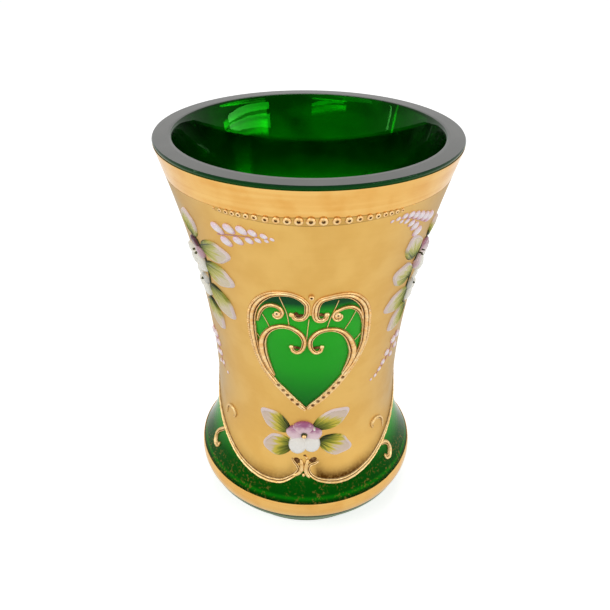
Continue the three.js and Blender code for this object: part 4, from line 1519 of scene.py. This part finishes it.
@dataclass
class HeartFlower:
    """The flower under the heart of one face, with its four leaves."""

    face: Face
    lean: float = 0.2
    upper: tuple[Oval, ...] = (
        Oval((-0.9, 50.2), (-1.1, 58.5), 9.6, 2.0),
        Oval((1.6, 52.6), (-8.2, 53.2), 6.8, 2.0),
        Oval((-2.8, 52.6), (6.9, 52.6), 6.8, 2.0),
    )
    lower: tuple[Oval, ...] = (
        Oval((0.4, 52.0), (4.0, 44.2), 7.4, 2.4),
        Oval((-1.6, 52.0), (-4.5, 43.3), 7.8, 2.6),
    )
    leaves: tuple[tuple[str, Oval], ...] = (
        ("upper_left", leaf_oval((-6.8, 53.0), (-18.8, 61.0), 9.0, 0.85)),
        ("upper_right", leaf_oval((3.2, 55.4), (18.0, 61.8), 9.1, 0.85)),
        ("lower_left", leaf_oval((-5.3, 47.1), (-17.7, 44.2), 10.0, 0.85)),
        ("lower_right", leaf_oval((5.6, 48.9), (19.0, 42.8), 9.6, 0.85, 0.35)),
    )

    def build(self) -> None:
        """Makes the flower and its leaves."""
        word = self.face.word
        for kind, (place, oval) in enumerate(self.leaves):
            leaf = Draft(self.face.value)
            add_leaf(leaf, oval, Look.LEAF, kind, self.lean if kind > 1 else -self.lean)
            leaf.piece(f"{word}_leaf_{place}", "leaf_enamel")
        top, front, bead = (Draft(self.face.value) for _ in range(3))
        for oval in self.upper:
            add_petal(top, oval, Look.LILAC, crowned=True)
        top.piece(f"{word}_flower_upper_petals", "lilac_enamel")
        for oval in self.lower:
            add_petal(front, oval, Look.WHITE, cup=0.15)
        add_dome(front, round_spot((3.4, 55.4), 0.9, 0.5), Look.WHITE, lift=1.6)
        front.piece(f"{word}_flower_lower_petals", "white_enamel")
        add_dome(bead, round_spot((-0.6, 52.8), 2.3, 0.5), Look.STEM, lift=2.1)
        add_dome(bead, round_spot((-0.6, 52.7), 1.7, 0.9), Look.RAISED, lift=2.2)
        bead.piece(f"{word}_flower_bead", "raised_gold")


@dataclass(frozen=True)
class SprayPlan:
    """The drawing of one spray, with its own side as positive."""

    petals: tuple[tuple[Look, Oval], ...]
    dots: Path
    stem: Path
    leaves: tuple[Oval, ...]
    lilac_buds: Path
    pink_buds: Path
    lilac_twig: Path
    pink_twig: Path


SPRAY_PLANS = {
    Hand.LEFT: SprayPlan(
        petals=(
            (Look.PURPLE, Oval((40.4, 127.0), (38.8, 132.4), 5.4, 1.1)),
            (Look.CREAM, Oval((41.0, 125.0), (46.6, 125.6), 5.2, 1.6)),
            (Look.CREAM, Oval((40.8, 125.0), (45.2, 119.2), 5.4, 1.6)),
            (Look.PINK, Oval((41.0, 125.6), (34.8, 127.6), 5.2, 1.6)),
            (Look.CREAM, Oval((40.4, 125.6), (37.0, 118.4), 5.4, 1.7)),
            (Look.CREAM, Oval((41.6, 113.4), (43.4, 118.6), 4.6, 1.2)),
            (Look.CREAM, Oval((41.4, 113.6), (45.8, 109.2), 4.8, 1.4)),
            (Look.BLUE, Oval((42.0, 113.6), (37.4, 115.2), 4.8, 1.5)),
            (Look.CREAM, Oval((41.6, 113.8), (39.6, 106.6), 5.2, 1.6)),
        ),
        dots=(
            (38.6, 126.3, 1.1), (39.9, 125.2, 1.0), (40.6, 126.5, 1.0), (40.4, 114.4, 1.0),
            (41.4, 113.5, 0.9),
        ),
        stem=(
            (38.8, 133.4, 0.6), (37.2, 131.0, 0.8), (35.7, 126.4, 1.0), (36.1, 120.0, 0.9),
            (37.2, 114.0, 0.9), (38.8, 108.4, 0.9), (41.8, 104.2, 0.8), (45.0, 102.6, 0.6),
        ),
        leaves=(
            leaf_oval((38.0, 132.6), (38.9, 143.4), 7.0),
            leaf_oval((35.8, 129.9), (23.2, 131.2), 8.6),
            leaf_oval((36.4, 122.6), (24.2, 118.6), 9.0),
            leaf_oval((36.8, 113.6), (27.2, 102.4), 8.4),
            leaf_oval((41.4, 105.8), (35.2, 93.8), 7.4),
        ),
        lilac_buds=(
            (24.7, 142.0, 5.0), (20.7, 143.1, 4.3), (16.9, 143.7, 3.8), (13.9, 143.4, 3.0),
            (11.0, 142.8, 2.4), (8.9, 142.0, 1.5), (22.6, 137.6, 4.4), (18.6, 139.2, 3.6),
            (15.2, 140.2, 2.8), (12.7, 140.9, 2.2), (10.4, 141.1, 1.5),
        ),
        pink_buds=(
            (44.9, 85.3, 3.6), (43.6, 81.7, 3.2), (43.1, 76.9, 2.8), (41.8, 72.7, 2.1), (38.7, 69.5, 1.5),
            (49.0, 84.7, 3.4), (46.6, 80.8, 2.9), (46.0, 76.0, 2.5), (45.1, 71.6, 1.9),
        ),
        lilac_twig=((25.6, 139.4, 0.5), (22.0, 140.4, 0.45), (17.6, 141.3, 0.35), (13.6, 141.8, 0.25)),
        pink_twig=((47.6, 88.0, 0.6), (45.6, 82.6, 0.5), (44.6, 76.4, 0.45), (41.2, 70.2, 0.3)),
    ),
    Hand.RIGHT: SprayPlan(
        petals=(
            (Look.MAUVE, Oval((44.4, 125.4), (43.4, 130.4), 5.2, 1.2)),
            (Look.CREAM, Oval((44.2, 124.4), (49.8, 121.0), 5.2, 1.4)),
            (Look.CREAM, Oval((44.4, 123.6), (45.2, 116.0), 5.4, 2.1)),
            (Look.PINK, Oval((42.6, 124.6), (48.4, 126.6), 5.6, 1.6)),
            (Look.PINK, Oval((44.2, 124.2), (39.8, 119.4), 5.4, 1.7)),
            (Look.CREAM, Oval((44.4, 111.0), (46.2, 116.0), 4.6, 1.2)),
            (Look.CREAM, Oval((44.4, 110.8), (49.0, 107.2), 4.8, 1.4)),
            (Look.BLUE, Oval((45.0, 110.6), (40.2, 111.8), 4.8, 1.5)),
            (Look.CREAM, Oval((44.6, 111.2), (42.4, 103.8), 5.2, 1.6)),
        ),
        dots=(
            (41.6, 125.2, 0.7), (42.8, 124.0, 0.6), (42.9, 125.8, 0.6), (43.6, 111.5, 1.0),
            (44.6, 110.7, 0.9),
        ),
        stem=(
            (44.4, 131.0, 0.6), (41.6, 128.4, 0.8), (39.9, 123.6, 0.9), (40.0, 117.0, 0.9),
            (39.9, 111.0, 0.9), (40.8, 105.2, 0.9), (43.4, 100.6, 0.8), (46.4, 98.8, 0.6),
        ),
        leaves=(
            leaf_oval((44.6, 130.6), (46.8, 138.2), 5.2, 0.9),
            leaf_oval((37.6, 125.0), (33.2, 135.6), 8.0),
            leaf_oval((39.2, 117.6), (29.4, 121.4), 9.3),
            leaf_oval((41.0, 110.2), (29.2, 105.2), 8.6),
            leaf_oval((43.4, 102.8), (34.2, 94.0), 8.0),
        ),
        lilac_buds=(
            (37.8, 141.8, 4.4), (34.9, 143.2, 3.8), (32.3, 144.6, 3.5), (30.0, 145.7, 3.1),
            (27.9, 146.6, 2.7), (25.6, 146.9, 2.3), (23.5, 146.6, 1.8), (21.7, 146.2, 1.3),
            (33.4, 138.0, 4.2), (31.2, 140.9, 3.5), (29.2, 142.8, 2.8), (26.9, 144.5, 2.1),
            (24.9, 145.1, 1.5),
        ),
        pink_buds=(
            (40.3, 86.1, 3.6), (36.9, 81.6, 3.2), (34.9, 78.0, 2.8), (33.1, 75.5, 2.3), (30.9, 73.3, 1.9),
            (28.6, 72.4, 1.4), (44.0, 86.8, 3.5), (43.8, 81.5, 3.0), (40.7, 78.8, 2.6),
        ),
        lilac_twig=((36.4, 140.4, 0.5), (32.8, 142.6, 0.45), (29.4, 144.6, 0.4), (26.0, 146.0, 0.25)),
        pink_twig=((43.0, 89.0, 0.6), (40.0, 83.0, 0.5), (36.4, 77.4, 0.45), (30.0, 72.8, 0.3)),
    ),
}


@dataclass
class Spray:
    """One spray of two flowers, leaves and two sprigs of buds."""

    face: Face
    hand: Hand
    bud_lean: Point = (0.72, 0.69)
    leaf_lean: float = 0.2
    first_leaf: int = 4

    def piece(self, draft: Draft, word: str, slot: str) -> None:
        """Makes a piece of this spray."""
        draft.piece(f"{self.face.word}_{self.hand.word}_spray_{word}", slot)

    def sprig(self, word: str, buds: Path, twig: Path) -> None:
        """Makes a sprig of long buds on a thin twig.

        Args:
            word: the sprig's word in its node's name.
            buds: across, height and length of each bud.
            twig: the path of the twig between them.
        """
        draft = Draft(self.face.value)
        for across, z, length in buds:
            reach = (self.bud_lean[0] * length / 2, self.bud_lean[1] * length / 2)
            thick = min(length * 0.66, 2.7)
            foot, tip = (across - reach[0], z - reach[1]), (across + reach[0], z + reach[1])
            add_dome(draft, Oval(foot, tip, thick, thick * 0.42, 0.2).mirrored(self.hand.value), Look.BUD)
        Ribbon(twig, Section.PLAIN, 0.5, across_steps=9).draw(draft, Look.TWIG, self.hand.value)
        self.piece(draft, word, "bud_enamel")

    def build(self) -> None:
        """Makes the two flowers with the dark dots in their middles, then the leaves and the sprigs."""
        plan, sign = SPRAY_PLANS[self.hand], self.hand.value
        flowers, leaves = Draft(self.face.value), Draft(self.face.value)
        for look, oval in plan.petals:
            add_petal(flowers, oval.mirrored(sign), look, cup=0.45)
        for across, z, size in plan.dots:
            add_dome(flowers, round_spot((across * sign, z), size * 0.8, 0.6), Look.STEM, lift=1.1)
        self.piece(flowers, "flowers", "white_enamel")
        for kind, oval in enumerate(plan.leaves, start=self.first_leaf):
            add_leaf(leaves, oval.mirrored(sign), Look.SPRAY_LEAF, kind, self.leaf_lean)
        Ribbon(plan.stem, Section.PLAIN, 0.4).draw(leaves, Look.STEM, sign)
        self.piece(leaves, "leaves", "leaf_enamel")
        self.sprig("lilac_buds", plan.lilac_buds, plan.lilac_twig)
        self.sprig("pink_buds", plan.pink_buds, plan.pink_twig)


@dataclass(frozen=True)
class Lamp:
    """A soft box: its place, its width and height, and the place that it faces, in metres."""

    name: str
    place: Station
    size: Point
    watts: float
    target: Station = (0.0, 0.0, 0.09)

    def build(self) -> None:
        """Adds the soft box."""
        data = bpy.data.lights.new(self.name, "AREA")
        data.shape = "RECTANGLE"
        data.size, data.size_y = self.size
        data.energy = self.watts
        made = bpy.data.objects.new(self.name, data)
        made.visible_camera = False
        aim = Vector(self.target) - Vector(self.place)
        facing = aim.to_track_quat("-Z", "Y").to_matrix().to_4x4()
        made.matrix_world = Matrix.Translation(Vector(self.place)) @ facing
        bpy.context.scene.collection.objects.link(made)


@dataclass(frozen=True)
class Studio:
    """The plain stage: floor, light and the photograph's camera."""

    camera_place: Station = (0.0, -224.97, 229.58)
    pitch: float = 32.157
    yaw: float = -0.216
    roll: float = 0.465
    focal_pixels: float = 640.0
    frame_pixels: float = 610.0
    sensor_mm: float = 36.0
    floor_reach: float = 12.0
    floor_level: float = -0.0002
    floor_glow: float = 0.4
    camera_glow: float = 0.24
    world_light: float = 0.45
    lamps: tuple[Lamp, ...] = (
        Lamp("left_softbox", (-0.6, -0.55, 0.75), (0.5, 0.6), 2.35),
        Lamp("top_softbox", (0.0, 0.25, 1.0), (0.6, 0.4), 2.1),
        Lamp("far_pane", (-0.28, -0.856, 0.455), (0.5, 0.014), 0.16),
        Lamp("left_slit", (-0.99, -0.14, 0.3), (0.03, 0.4), 0.3),
        Lamp("upper_pane", (1.12, -0.478, 0.435), (1.176, 0.036), 1.7, (0.7, 0.43, 0.435)),
        Lamp("lower_pane", (1.12, -0.478, 0.378), (1.176, 0.05), 2.1, (0.7, 0.43, 0.378)),
    )

    def camera(self) -> None:
        """Sets the camera where the photograph was taken from."""
        pitch, yaw, roll = (math.radians(a) for a in (self.pitch, self.yaw, self.roll))
        ahead = Vector((math.sin(yaw) * math.cos(pitch), math.cos(yaw) * math.cos(pitch), -math.sin(pitch)))
        level = Vector((math.cos(yaw), -math.sin(yaw), 0.0))
        upright = level.cross(ahead)
        right = level * math.cos(roll) + upright * math.sin(roll)
        up = upright * math.cos(roll) - level * math.sin(roll)
        data = bpy.data.cameras.new("photo_camera")
        data.sensor_width = self.sensor_mm
        data.lens = self.sensor_mm * self.focal_pixels / self.frame_pixels
        data.clip_start, data.clip_end = 0.01, 100.0
        made = bpy.data.objects.new("photo_camera", data)
        axes = Matrix((right, up, -ahead)).transposed().to_4x4()
        made.matrix_world = Matrix.Translation(Vector(self.camera_place) * MM) @ axes
        bpy.context.scene.collection.objects.link(made)
        bpy.context.scene.camera = made

    def floor(self) -> None:
        """A plain pale floor that shows nearly white and keeps the shadow."""
        mesh = bpy.data.meshes.new("studio_floor")
        reach = self.floor_reach
        corners = [(-reach, -reach, 0), (reach, -reach, 0), (reach, reach, 0), (-reach, reach, 0)]
        mesh.from_pydata(corners, [], [(0, 1, 2, 3)])
        made = bpy.data.objects.new("studio_floor", mesh)
        made.location.z = self.floor_level
        bpy.context.scene.collection.objects.link(made)
        material, graph = new_material("pale_floor")
        shader = graph.tree.nodes["Principled BSDF"]
        pale = {"Base Color": (0.8, 0.8, 0.8, 1.0), "Roughness": 0.9, "Specular IOR Level": 0.0}
        graph.feed(shader, pale)
        extra = graph.math("MULTIPLY", graph.node("LightPath").outputs["Is Camera Ray"], self.camera_glow)
        strength = graph.math("MULTIPLY_ADD", self.seen(graph), self.floor_glow, extra)
        glow = graph.node("Emission", {"Strength": strength})
        both = graph.node("AddShader", {0: shader.outputs[0], 1: glow.outputs[0]})
        graph.feed(graph.tree.nodes["Material Output"], {"Surface": both.outputs[0]})
        mesh.materials.append(material)

    @staticmethod
    def seen(graph: Graph) -> Socket:
        """Tells the rays of the camera, of gloss and through glass from the rest.

        Args:
            graph: the nodes to add to.

        Returns:
            1 for those rays and 0 for the rest.
        """
        path = graph.node("LightPath").outputs
        rays = graph.math("MAXIMUM", path["Is Camera Ray"], path["Is Glossy Ray"])
        return graph.math("MAXIMUM", rays, path["Is Transmission Ray"])

    def world(self) -> None:
        """A white surround, at a lower level for the light that it casts."""
        world = bpy.data.worlds.new("studio")
        world.use_nodes = True
        bpy.context.scene.world = world
        graph = Graph(world.node_tree)
        strength = graph.math("MULTIPLY_ADD", self.seen(graph), 1 - self.world_light, self.world_light)
        graph.feed(graph.tree.nodes["Background"], {"Color": (1, 1, 1, 1), "Strength": strength})

    def build(self) -> None:
        """Sets the stage."""
        self.camera()
        self.floor()
        self.world()
        for lamp in self.lamps:
            lamp.build()
        bpy.context.scene.view_settings.view_transform = "Standard"


def main() -> None:
    """Builds the vase on its stage."""
    logging.basicConfig(level=logging.INFO, format="%(message)s")
    Studio().build()
    SharedEffects().build()
    Draft.materials = {look: look.value.build() for look in Look}
    GlassBody().build()
    Gilding().build()
    for face in Face:
        Scrollwork(face).build()
        HeartFlower(face).build()
        for hand in Hand:
            Spray(face, hand).build()


if __name__ == "__main__":
    main()
